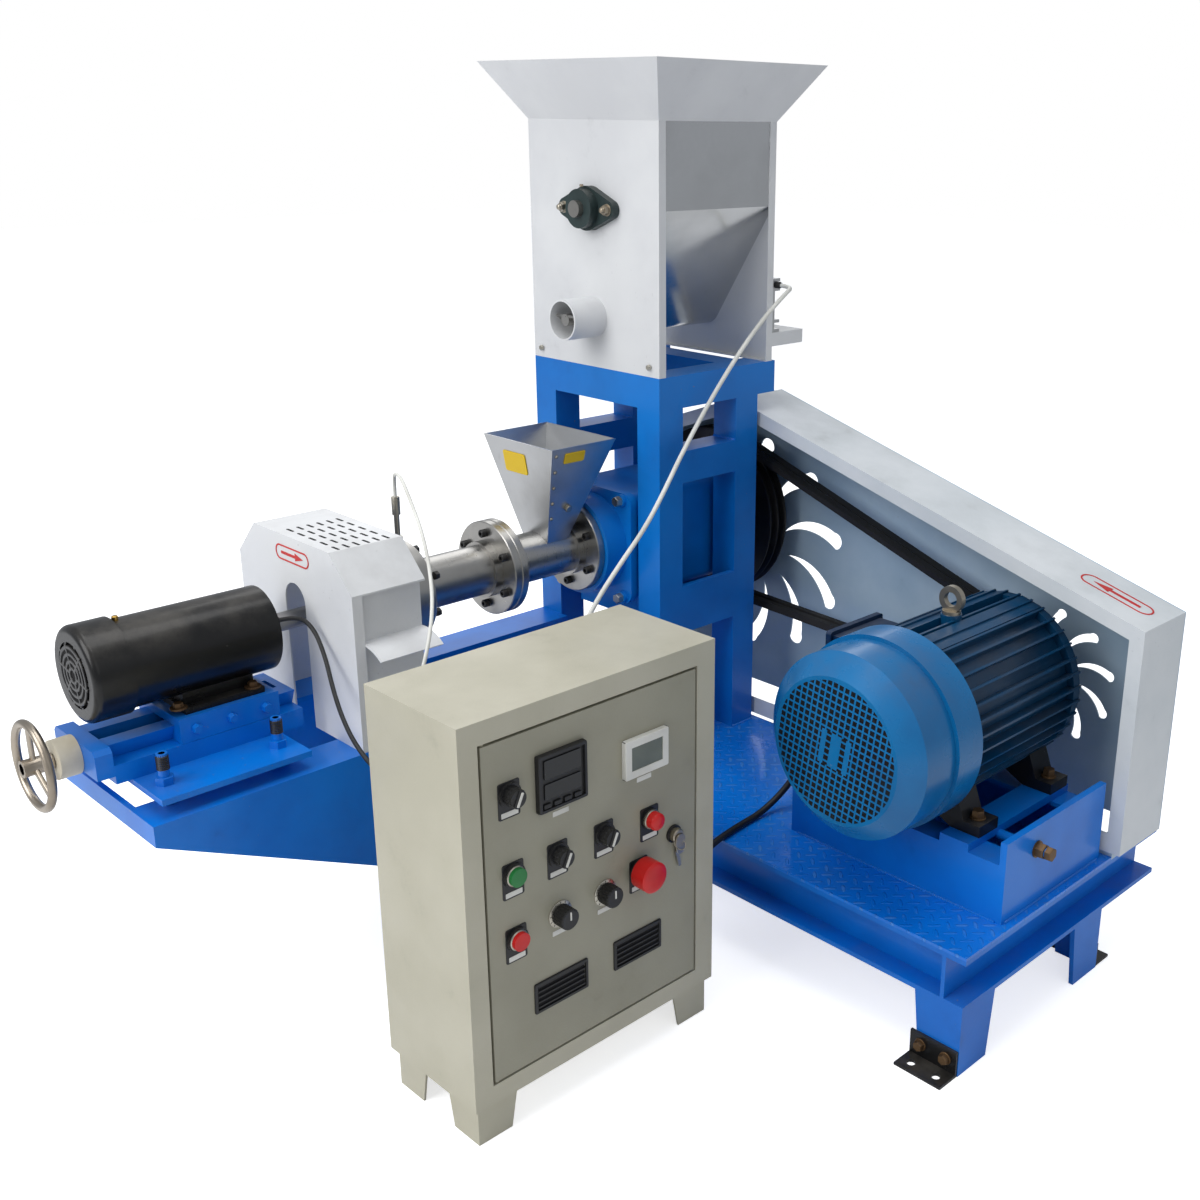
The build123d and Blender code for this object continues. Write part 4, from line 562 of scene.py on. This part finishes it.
def piece(name, groups, finish, body="machine", smooth=0.6):
    """Joins (points, faces) groups into one mesh in scene metres, and lets it ride on its body."""
    points = np.concatenate([g[0] for g in groups])
    starts = np.cumsum([0] + [len(g[0]) for g in groups])
    faces = [[index + start for index in face] for g, start in zip(groups, starts) for face in g[1]]
    mesh = bpy.data.meshes.new(name)
    mesh.from_pydata(at(*points).tolist(), [], faces)
    mesh.shade_smooth()
    mesh.set_sharp_from_angle(angle=smooth)
    mesh.materials.append(finishes[finish])
    thing = bpy.data.objects.new(name, mesh)
    bpy.context.scene.collection.objects.link(thing)
    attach(thing, body)
    print(name, len(faces), "faces")
    return thing


def ring_of(count, radius, middle, start=0.0):
    """Places on a circle that faces along x."""
    t = np.radians(start) + np.arange(count) / count * 2 * np.pi
    across, height = middle[1] + radius * np.cos(t), middle[2] + radius * np.sin(t)
    return np.column_stack([np.full(count, middle[0]), across, height])


def hex_head(across_corners, height):
    return stack(disc(across_corners / 2, 6), [(0, 0), (0, height * 0.8), (across_corners * 0.06, height)])


def socket_head(radius, height):
    """A cap screw: plain wall, chamfer, and a round socket sunk in its top."""
    return stack(disc(radius, 18), [
        (0, 0), (0, height - 1), (1, height), (radius * 0.5, height), (radius * 0.55, height - 3)])


# %% [markdown]
# Bolts first. The barrel's flanges are held by black cap screws, the housing cover by hexagon heads on
# its raised pads, and the base and the motor by old brown bolts with washers. Each kind is one mesh.

# %% Bolts
minus_x, plus_x, minus_y, sky = (-1, 0, 0), (1, 0, 0), (0, -1, 0), (0, 0, 1)
screw_y, screw_z = 148.5, 521
cap = socket_head(6.2, 9)
flange_places = np.concatenate([
    ring_of(6, 56, (-225, screw_y, screw_z), 30), ring_of(6, 56, (-61, screw_y, screw_z), 30)])
piece("flange_cap_screws", [
    placed_copies(cap, flange_places, minus_x),
    placed_copies(socket_head(5.2, 2.4), ring_of(8, 61, (-440, screw_y, screw_z), 22.5), minus_x),
    placed_copies(hex_head(13, 7), ring_of(6, 56, (-199, screw_y, screw_z), 30), plus_x),
    placed_copies(hex_head(13, 7), ring_of(6, 56, (-353, screw_y, screw_z), 30), plus_x),
], "socket")

cover_pads = [(-15, screw_y + sy * 71, screw_z + sz * 81) for sy in (-1, 1) for sz in (-1, 1)]
washer = stack(disc(11, 20), [(0, 0), (0, 1.6), (0.6, 2.2)])
piece("housing_bolts", [
    placed_copies(hex_head(17, 10), cover_pads, minus_x),
], "bright")

foot_places = [(x, y, 291) for x in (12, 190) for y in (-609, -381)]
brown = [
    placed_copies(washer, foot_places, sky), placed_copies(hex_head(18, 12), foot_places, sky),
]
thin_washer = stack(disc(9, 18), [(0, 0), (0, 1.2), (0.5, 1.6)])
for x, outward in ((-134, -1), (225, 1)):
    for bracket_y in (-660, 264):
        for shift in (-20, 20):
            spot = [(x, bracket_y + shift, 22)]
            brown.append(placed_copies(thin_washer, spot, (outward, 0, 0)))
            brown.append(placed_copies(hex_head(15, 8), spot, (outward, 0, 0)))
piece("old_bolts", brown, "brown")

carriage_side = [(x, 89.5, 433) for x in (-730, -682, -634)]
piece("gib_bolts", [
    placed_copies(hex_head(13, 8), carriage_side, minus_y),
], "blue", "cutter_carriage")
motor_feet = [(x, screw_y + sy * 41, 458) for x in (-742, -640) for sy in (-1, 1)]
piece("cutter_motor_bolts", [
    placed_copies(washer, motor_feet, sky),
    placed_copies(hex_head(13, 8), motor_feet, sky),
], "brown", "cutter_carriage")

# %% [markdown]
# Studs that carry the slide's base plate are cut threads above their nuts. A thread is a profile that
# climbs as it goes round, but from half a metre away its ridges read the same as rings, which close
# neatly at both ends and take few faces, so each ridge here is a pair of steps in a stack.

# %% Studs
def threaded_rod(radius, length, pitch):
    """Steps drawn in by 14 % of the radius every other half pitch, from the bottom to the top."""
    ridges = [(radius * 0.14 * (k % 2), k * pitch / 2) for k in range(int(length / pitch * 2))]
    return stack(disc(radius, 16), ridges + [(radius * 0.14, length), (radius * 0.5, length + 1)])


stud_places = [(x, screw_y + sy * 97, 411) for x in (-794, -641) for sy in (-1, 1)]
piece("stud_threads", [
    placed_copies(threaded_rod(8.2, 20, 2.4), stud_places, sky),
], "dark_iron")

# %% [markdown]
# The red markings on the guard and on the cover are a pill-shaped line round an arrow, which show the
# way the parts turn. Each is a thin raised film. The pill is a hollow stack: out, up, in and down
# again. The arrow is its own outline of seven points.

# %% Turning arrows
def arrow_shape(length, width):
    """Seven points: a shaft, and a head three times as wide."""
    head = length * 0.36
    half = width / 2
    points = np.array([
        (-length / 2, -half * 0.36), (length / 2 - head, -half * 0.36), (length / 2 - head, -half),
        (length / 2, 0), (length / 2 - head, half), (length / 2 - head, half * 0.36), (-length / 2, half * 0.36)])
    return lambda inset: points


def pill_mark(length, width, line):
    film = 0.5
    ring = stack(outline(length / 2, width / 2, width / 2, 40), [(0, 0), (0, film), (line, film), (line, 0)], True)
    arrow = stack(arrow_shape(length * 0.66, width * 0.5), [(0, 0), (0, film)])
    return ring, arrow


slope = math.atan2(738 - 528.5, 60 + 712)
guard_mark = pill_mark(118, 32, 2.6)
guard_spot = [(288, -634, 528.5 + 78 * math.tan(slope) + 0.1)]
guard_normal = (0, -math.sin(slope), math.cos(slope))
cover_mark = pill_mark(86, 22, 2.2)
piece("turning_arrows", [
    *[placed_copies(part, guard_spot, guard_normal, (-1, 0, 0)) for part in guard_mark],
    *[placed_copies(part, [(-546.1, screw_y - 2, 610)], minus_x) for part in cover_mark],
], "red")

# %% [markdown]
# The inlet hopper carries two bare yellow plates with rounded corners, one on each side that shows,
# and five rivets down its near edge. The plates lie on walls that lean outwards, so their direction
# comes from the mouth and the throat of the hopper.

# %% Plates and rivets on the inlet hopper
wall_x = np.array([-158 - (-131), 0, 708 - 559.5])
wall_y = np.array([0, -(84 - 34), 708 - 559.5])
front_normal = np.array([-wall_x[2], 0, wall_x[0]])
side_normal = np.array([0, -wall_y[2], wall_y[1]])


def on_wall(base, along, share, shift):
    """A point on a leaning wall: base + share of the way up + shift across."""
    return [tuple(np.array(base, float) + along * share + np.array(shift, float))]


tag = stack(outline(27, 17, 4, 28), [(0, 0), (0, 0.5), (0.5, 0.9)])
small_tag = stack(outline(20, 9, 3, 28), [(0, 0), (0, 0.5), (0.5, 0.9)])
piece("yellow_plates", [
    placed_copies(tag, on_wall((-131.4, screw_y, 559.5), wall_x, 0.76, (0, 14, 0)), front_normal),
    placed_copies(small_tag, on_wall((-107, screw_y - 34.4, 559.5), wall_y, 0.88, (-4, 0, 0)), side_normal),
], "yellow")
rivet = stack(disc(3.2, 14), [(0, 0), (0.3, 0.9), (1.4, 1.9), (2.4, 2.2)])
rivets = [on_wall((-127 - share * 22, screw_y - 34.4, 559.5), wall_y, share, (0, 0, 0))[0]
          for share in (0.2, 0.38, 0.56, 0.74, 0.92)]
piece("hopper_rivets", [
    placed_copies(rivet, rivets, side_normal),
    placed_copies(stack(disc(6, 18), [(0, 0), (0, 5), (1, 6)]),
                  on_wall((-104, screw_y - 34.4, 559.5), wall_y, 0.3, (0, 0, 0)), side_normal),
], "bright")

# %% [markdown]
# The cabinet's door is where a hand goes, so its controls are drawn one by one: places are millimetres
# across and up from the cabinet's left lower corner, as on a drilling plan. Each black legend plate
# lies flat on the door behind its control. Buttons have a bright ring and a domed cap, selectors a
# ribbed knob with a white pointer, dials a plate with ticks.

# %% Door plates, caps and pointers
def on_door(across, height, out=0.0):
    """A point on the door's face: the cabinet starts at x -651 and the face is at y -369."""
    return -651 + across, -369 - out, height


def on_door_all(spots, out=0.0):
    return [on_door(w, z, out) for w, z in spots]


selectors = [(66, 454), (133.5, 351), (206, 350)]
buttons = [(67.5, 350.5), (68.4, 265)]
dials = [(135, 269), (206.5, 268)]
legend = stack(outline(15.5, 23, 3, 20), [(0, 0), (0, 0.7), (0.5, 1.1)])
legend_spots = [(w, z - 7) for w, z in selectors + buttons + [(282, 343), (263, 277)]]
door = "cabinet_door"
piece("legend_plates", [
    placed_copies(legend, on_door_all(legend_spots), minus_y),
], "bezel", door)
tag = stack(outline(12, 3.2, 0.6, 12), [(0, 0), (0, 0.4)])
tag_spots = [(w, z - 24.5) for w, z in selectors + buttons + [(282, 343), (263, 277)]]
piece("blank_tags", [
    placed_copies(tag, on_door_all(tag_spots, 1.1), minus_y),
    placed_copies(tag, on_door_all([(w, z - 24) for w, z in dials] + [(140.5, 404), (273.8, 402)]), minus_y),
], "white_plastic", door)


def domed(radius, low, high, rise, count=28):
    """A cap whose top is an arc: drawn in by r (1 - cos a) while it rises by rise * sin a."""
    a = np.linspace(0, np.pi / 2, 6)[:-1]
    steps = [(-0.0, low), (0, high)] + [(radius * (1 - np.cos(v)), high + rise * np.sin(v)) for v in a[1:]]
    return stack(disc(radius, count), steps + [(radius * 0.97, high + rise)])


ring = stack(disc(13, 28), [(0, 0), (0, 6.5), (1.2, 7.4), (3, 7.4), (3, 5)])
piece("button_rings", [
    placed_copies(ring, on_door_all(buttons + [(282, 343)]), minus_y),
    placed_copies(stack(disc(9.5, 28), [(0, 0), (0, 10), (1.5, 11.5)]), on_door_all([(324, 305)]), minus_y),
    placed_copies(stack(disc(17.5, 36), [(0, 0), (0, 1.2), (0.6, 1.6)]), on_door_all(dials), minus_y),
], "bright", door)
piece("red_caps", [
    placed_copies(domed(11.6, 5, 12.4, 0.6), on_door_all([(68.4, 265)]), minus_y),
    placed_copies(domed(11.6, 5, 16.4, 4.0), on_door_all([(282, 343)]), minus_y),
    placed_copies(domed(20.6, 9, 30.3, 3.4, 36), on_door_all([(263, 277)]), minus_y),
], "cap_red", door)
piece("green_cap", [
    placed_copies(domed(11.6, 5, 12.4, 0.6), on_door_all([(67.5, 350.5)]), minus_y),
], "cap_green", door)


def ribbed_knob(radius, low, high, ribs=14):
    """A knob whose radius swells and shrinks with the angle: r (1 + 0.05 cos(ribs * t))."""
    plain = disc(radius, ribs * 4)
    t = np.arctan2(plain(0)[:, 1], plain(0)[:, 0])
    wave = (1 + 0.05 * np.cos(ribs * t))[:, None]
    return stack(lambda inset: plain(inset) * wave, [(0, low), (0, high - 1.5), (1.5, high)])


pointer = stack(outline(1.5, 9, 1, 12), [(0, 0), (0, 1.2)])
handle = stack(outline(3.6, 11.4, 2, 16), [(0, 14), (0, 20), (1.2, 21.4)])
lean = (0.42, 0, 0.9)
piece("knobs", [
    placed_copies(ribbed_knob(11.4, 5, 15), on_door_all(selectors), minus_y),
    placed_copies(handle, on_door_all(selectors), minus_y, lean),
    placed_copies(ribbed_knob(13.2, 2, 20.6, 20), on_door_all(dials), minus_y),
], "bezel", door)
dial_ticks = []
for w, z in dials:
    for angle in np.radians(np.arange(-50, 231, 28)):
        spot = on_door(w + 15.6 * math.cos(angle), z + 15.6 * math.sin(angle), 1.6)
        dial_ticks.append(placed_copies(
            stack(outline(0.35, 1.3, 0.2, 8), [(0, 0), (0, 0.3)]), [spot], minus_y,
            (math.cos(angle), 0, math.sin(angle))))
piece("dial_ticks", dial_ticks, "bezel", door)
piece("pointers", [
    placed_copies(pointer, on_door_all(selectors, 21.3), minus_y, lean),
    placed_copies(stack(outline(1, 5.5, 0.8, 12), [(0, 0), (0, 0.9)]), on_door_all([(w, z + 5) for w, z in dials], 20.6),
                  minus_y),
], "white_plastic", door)

# %% [markdown]
# Two instruments sit above the controls. The temperature controller is a black box with two dark
# displays over a row of keys; the meter is a white frame round a grey window. Their displays are
# dark here, as on a machine that is switched off, and carry no words.

# %% Instruments and louvres
def plate_on_door(w0, w1, z0, z1, rise, low=0.0, corner=2.0, bevel=0.8):
    """A raised rounded plate between two corners on the door."""
    half_w, half_h = (w1 - w0) / 2, (z1 - z0) / 2
    solid = stack(outline(half_w, half_h, corner, 24), [(0, low), (0, rise - bevel), (bevel, rise)])
    return placed_copies(solid, [on_door((w0 + w1) / 2, (z0 + z1) / 2)], minus_y)


def frame_on_door(w0, w1, z0, z1, line, low, rise):
    half_w, half_h = (w1 - w0) / 2, (z1 - z0) / 2
    solid = stack(outline(half_w, half_h, 2.5, 24), [
        (0, low), (0, rise - 0.8), (0.8, rise), (line, rise), (line + 0.6, low)], True)
    return placed_copies(solid, [on_door((w0 + w1) / 2, (z0 + z1) / 2)], minus_y)


piece("controller_frame", [
    frame_on_door(104.1, 176.9, 414.6, 487.4, 4, 0.2, 8.2),
    *[plate_on_door(111 + k * 15.2, 122 + k * 15.2, 419.5, 425, 7.6, 5, 1, 0.4) for k in range(4)],
], "bezel", door)
piece("displays", [
    plate_on_door(113, 168, 456, 480, 6.9, 5, 1.5, 0.3), plate_on_door(113, 168, 430, 450, 6.9, 5, 1.5, 0.3),
], "window", door)
piece("meter_frame", [
    frame_on_door(237.6, 309.9, 410.6, 462.4, 10, 0.2, 7.4),
], "white_plastic", door)
piece("meter_window", [
    plate_on_door(247, 300.5, 420, 453, 6.3, 4, 1, 0.3),
], "meter_glass", door)
louvres = []
for w0, w1, z0, z1 in ((92, 176, 147, 189), (219, 301, 148, 190)):
    louvres.append(frame_on_door(w0, w1, z0, z1, 4, 0.1, 2.6))
    louvres += [plate_on_door(w0 + 5, w1 - 5, z, z + 2.4, 2.0, 0.2, 0.8, 0.4)
                for z in np.arange(z0 + 6.5, z1 - 6, 7.2)]
piece("louvre_frames", louvres, "bezel", door)
shadow = stack(outline(37, 17, 1, 12), [(0, 0.05), (0, 0.25)])
piece("louvre_shadow", [
    placed_copies(shadow, [on_door(134, 168)], minus_y), placed_copies(shadow, [on_door(260, 169)], minus_y),
], "hole", door)

# %% [markdown]
# The lock has a key in it, and the spare hangs from its ring against the door. A key is a flat bow
# with a thin blade; two stacks of small depth make one.

# %% Lock and keys
key_bow = stack(outline(8, 9.5, 7, 20), [(0, 0), (0, 1.6), (0.4, 2)])
key_blade = stack(outline(2.6, 12, 1, 12), [(0, 0), (0, 1.6)])
turns = np.linspace(0, 2 * np.pi, 28, endpoint=False)
wire_turn = np.linspace(0, 2 * np.pi, 7, endpoint=False)
big, small = np.meshgrid(turns, wire_turn, indexing="ij")
reach = 8 + 0.8 * np.cos(small)
loop = np.stack([reach * np.cos(big), reach * np.sin(big), 0.8 * np.sin(small)], -1)
k = np.arange(28 * 7).reshape(28, 7)
ahead = np.roll(k, -1, 0)
loop_faces = np.stack([k, ahead, np.roll(ahead, -1, 1), np.roll(k, -1, 1)], -1).reshape(-1, 4)
piece("keys", [
    placed_copies(key_bow, [on_door(324, 299, 12)], minus_y, (0.2, 0, 1)),
    placed_copies(key_blade, [on_door(330, 268, 3)], minus_y, (-0.25, 0, 1)),
    placed_copies(key_bow, [on_door(334, 283, 3)], minus_y, (-0.25, 0, 1)),
    placed_copies((loop.reshape(-1, 3), loop_faces.tolist()), [on_door(328, 291, 9)], (-0.9, -0.4, 0)),
], "bright", door)

# %% [markdown]
# Fittings of the feed hopper and the motor frame: two bolts through the ears of each flange bearing, a
# grub screw, two bolts in the hopper's front plate, and the nut and bolt that tighten the belts.

# %% Hopper fittings
ears = [(-13, screw_y + s * 49.5, 1047) for s in (-1, 1)]
far_ears = [(252 + 13, screw_y + s * 49.5, 1047) for s in (-1, 1)]
piece("bearing_bolts", [
    placed_copies(thin_washer, ears, minus_x),
    placed_copies(hex_head(15, 9), ears, minus_x),
    placed_copies(threaded_rod(4.4, 13, 1.8), ears, minus_x),
    placed_copies(hex_head(15, 9), far_ears, plus_x),
    placed_copies(stack(disc(3, 12), [(0, 0), (0, 3), (0.6, 3.6)]), [(-20, screw_y, 1079)], sky, (1, 0, 0)),
    placed_copies(hex_head(9, 4), [(-1.6, screw_y + s * 128, 820) for s in (-1, 1)], minus_x),
], "bright")
piece("adjusting_nut", [
    placed_copies(stack(disc(12, 20), [(0, 0), (0, 2)]), [(42, -685, 262)], minus_y),
    placed_copies(hex_head(22, 12), [(42, -687, 262)], minus_y),
    placed_copies(hex_head(20, 9), [(42, -701, 262)], minus_y),
], "brown")

# %% [markdown]
# The hand slide: a cream bush on the lead screw and a hexagon nut on the wheel's hub. A brass screw
# stands on the cutter's motor.

# %% Hand slide fittings
wheel_nut = [(-916, screw_y, 420)]
piece("bush_ring", [
    placed_copies(stack(disc(25.6, 36), [(0, 0), (0, 26.4), (0.4, 26.9)]), [(-860.4, screw_y, 420)], minus_x),
], "bush", "machine")
piece("wheel_nut", [
    placed_copies(hex_head(18, 8), wheel_nut, minus_x),
], "brown", "handwheel")
piece("terminal_screw", [
    placed_copies(stack(disc(4, 16), [(0, 0), (0, 6), (1, 7)]), [(-790, screw_y, 578)], sky),
], "brass", "cutter_carriage")

# %% [markdown]
# The fan end of the cutter's motor is a moulded cover of hoops and ribs. Hoops are hollow stacks with
# a bevelled top, ribs are narrow stacks laid from the middle outwards; their black is painted lighter, a
# painted highlight on their edges. The dark between them is a flat disc of painted shade, not an opening.

# %% Fan cover of the cutter's motor
fan_end_x = -848
hoop_radii = [9.5, 18.5, 27.5, 36.5]
hoops = [placed_copies(
    stack(disc(r + 2.3, 40), [(0, -1), (0, 0.9), (0.8, 1.6), (3.8, 1.6), (4.6, 0.9), (4.6, -1)], True),
    [(fan_end_x, screw_y, screw_z)], minus_x) for r in hoop_radii]
rib = stack(outline(2, 17, 1.5, 12), [(0, -1), (0, 1), (0.7, 1.7)])
rib_angles = np.radians(np.arange(0, 360, 60) + 12)
ribs = [placed_copies(rib, [(fan_end_x, screw_y + 24 * math.cos(t), screw_z + 24 * math.sin(t))], minus_x,
                      (0, math.cos(t), math.sin(t))) for t in rib_angles]
piece("fan_cover", hoops + ribs, "black_edge", "cutter_carriage")
piece("fan_cover_shadow", [
    placed_copies(stack(disc(39, 40), [(0, 0.05), (0, 0.3)]), [(fan_end_x, screw_y, screw_z)], minus_x),
], "hole", "cutter_carriage")
piece("grommet", [
    placed_copies(stack(disc(6, 20), [(0, 0), (0, 4), (1.5, 6)]), [(-600, 108, 540)], plus_x),
], "cable_black", "cutter_carriage")

# %% [markdown]
# Where a cable enters, a rubber seal grips it. The seals sit at the ends of the cables' routes: three
# at the cabinet's back, one on its side, one under the motor's terminal box, one at the terminal strip.

# %% Gland seals
seal = stack(disc(7.5, 24), [(0, 0), (0, 5), (1.2, 7.5), (3, 9)])
strip_seal = stack(disc(5.5, 20), [(0, 0), (0, 8), (1.5, 12)])
starts = {name: route[0] for name, (finish, thickness, route) in routes.items()}
ends = {name: route[-1] for name, (finish, thickness, route) in routes.items()}
piece("gland_seals", [
    placed_copies(seal, [ends["hopper"], ends["probe"], ends["cutter"]], (0, 1, 0)),
    placed_copies(seal, [ends["main"]], plus_x),
    placed_copies(seal, [starts["main"]], (0, 0, -1), (1, 0, 0)),
    placed_copies(strip_seal, [starts["hopper"]], minus_y),
], "cable_black")

# %% [markdown]
# Flat bars and plates of the frame are welded. A weld bead is a string of overlapping ripples, and a
# profile carried along the seam gives it: a small half circle whose radius beats a few times each
# centimetre.

# %% Weld beads
def bead(start, end, normal, radius=2.6, pitch=3.2):
    """Half circle of radius r (1 + 0.18 cos(2 pi s / pitch)) carried from start to end along the seam."""
    start, end = np.array(start, float), np.array(end, float)
    length = np.linalg.norm(end - start)
    along = (end - start) / length
    n = np.array(normal, float) / np.linalg.norm(normal)
    side = np.cross(along, n)
    s = np.linspace(0, length, max(int(length / pitch * 4), 8))
    a = np.linspace(0, np.pi, 7)
    size = radius * (1 + 0.18 * np.cos(2 * np.pi * s / pitch))
    size[[0, -1]] = 0.1
    around = np.cos(a)[:, None] * side + np.sin(a)[:, None] * n
    points = start + s[:, None, None] * along + size[:, None, None] * around[None]
    k = np.arange(len(s) * 7).reshape(len(s), 7)
    quads = np.stack([k[:-1, :-1], k[1:, :-1], k[1:, 1:], k[:-1, 1:]], -1).reshape(-1, 4)
    closing = np.stack([k[:-1, -1], k[1:, -1], k[1:, 0], k[:-1, 0]], -1)
    ends = [k[0, ::-1].tolist(), k[-1].tolist()]
    return points.reshape(-1, 3), [face[::-1] for face in quads.tolist() + closing.tolist() + ends]


post, deck_z = 50, 178
seams = [bead((x, 1, z), (x, post, z), (inward, 0, away))
         for x, inward in ((50, 1), (170, -1)) for z, away in ((634, -1), (685, 1))]
seams += [bead((0, y, deck_z), (0, y + post, deck_z), (-1, 0, 1)) for y in (0, 247)]
seams += [bead((x, 0, deck_z), (x + post, 0, deck_z), (0, -1, 1)) for x in (0, 170)]
seams += [bead((-27, -685, deck_z), (212, -685, deck_z), (0, -1, 1)),
          bead((-33, -676, deck_z), (-33, -330, deck_z), (-1, 0, 1))]
piece("weld_beads", seams, "blue")

# %% [markdown]
# The vents on top of the cutter's cover show as dark slots. These are flat plates of painted shade just
# above the sheet and longer than the holes in the solid beneath them, so they paint the dark shade of a
# vent and make no opening.

# %% Vent slots of the cutter's cover
vent_places = [(-490 + 15.3 * (i - 2.5), 120.5 + 29 * (j - 2), 636) for i in range(6) for j in range(5)]
piece("vent_slot_painted_shade", [
    placed_copies(stack(outline(2, 9, 2, 12), [(0, -0.1), (0, 0.2)]), vent_places, sky),
], "hole")
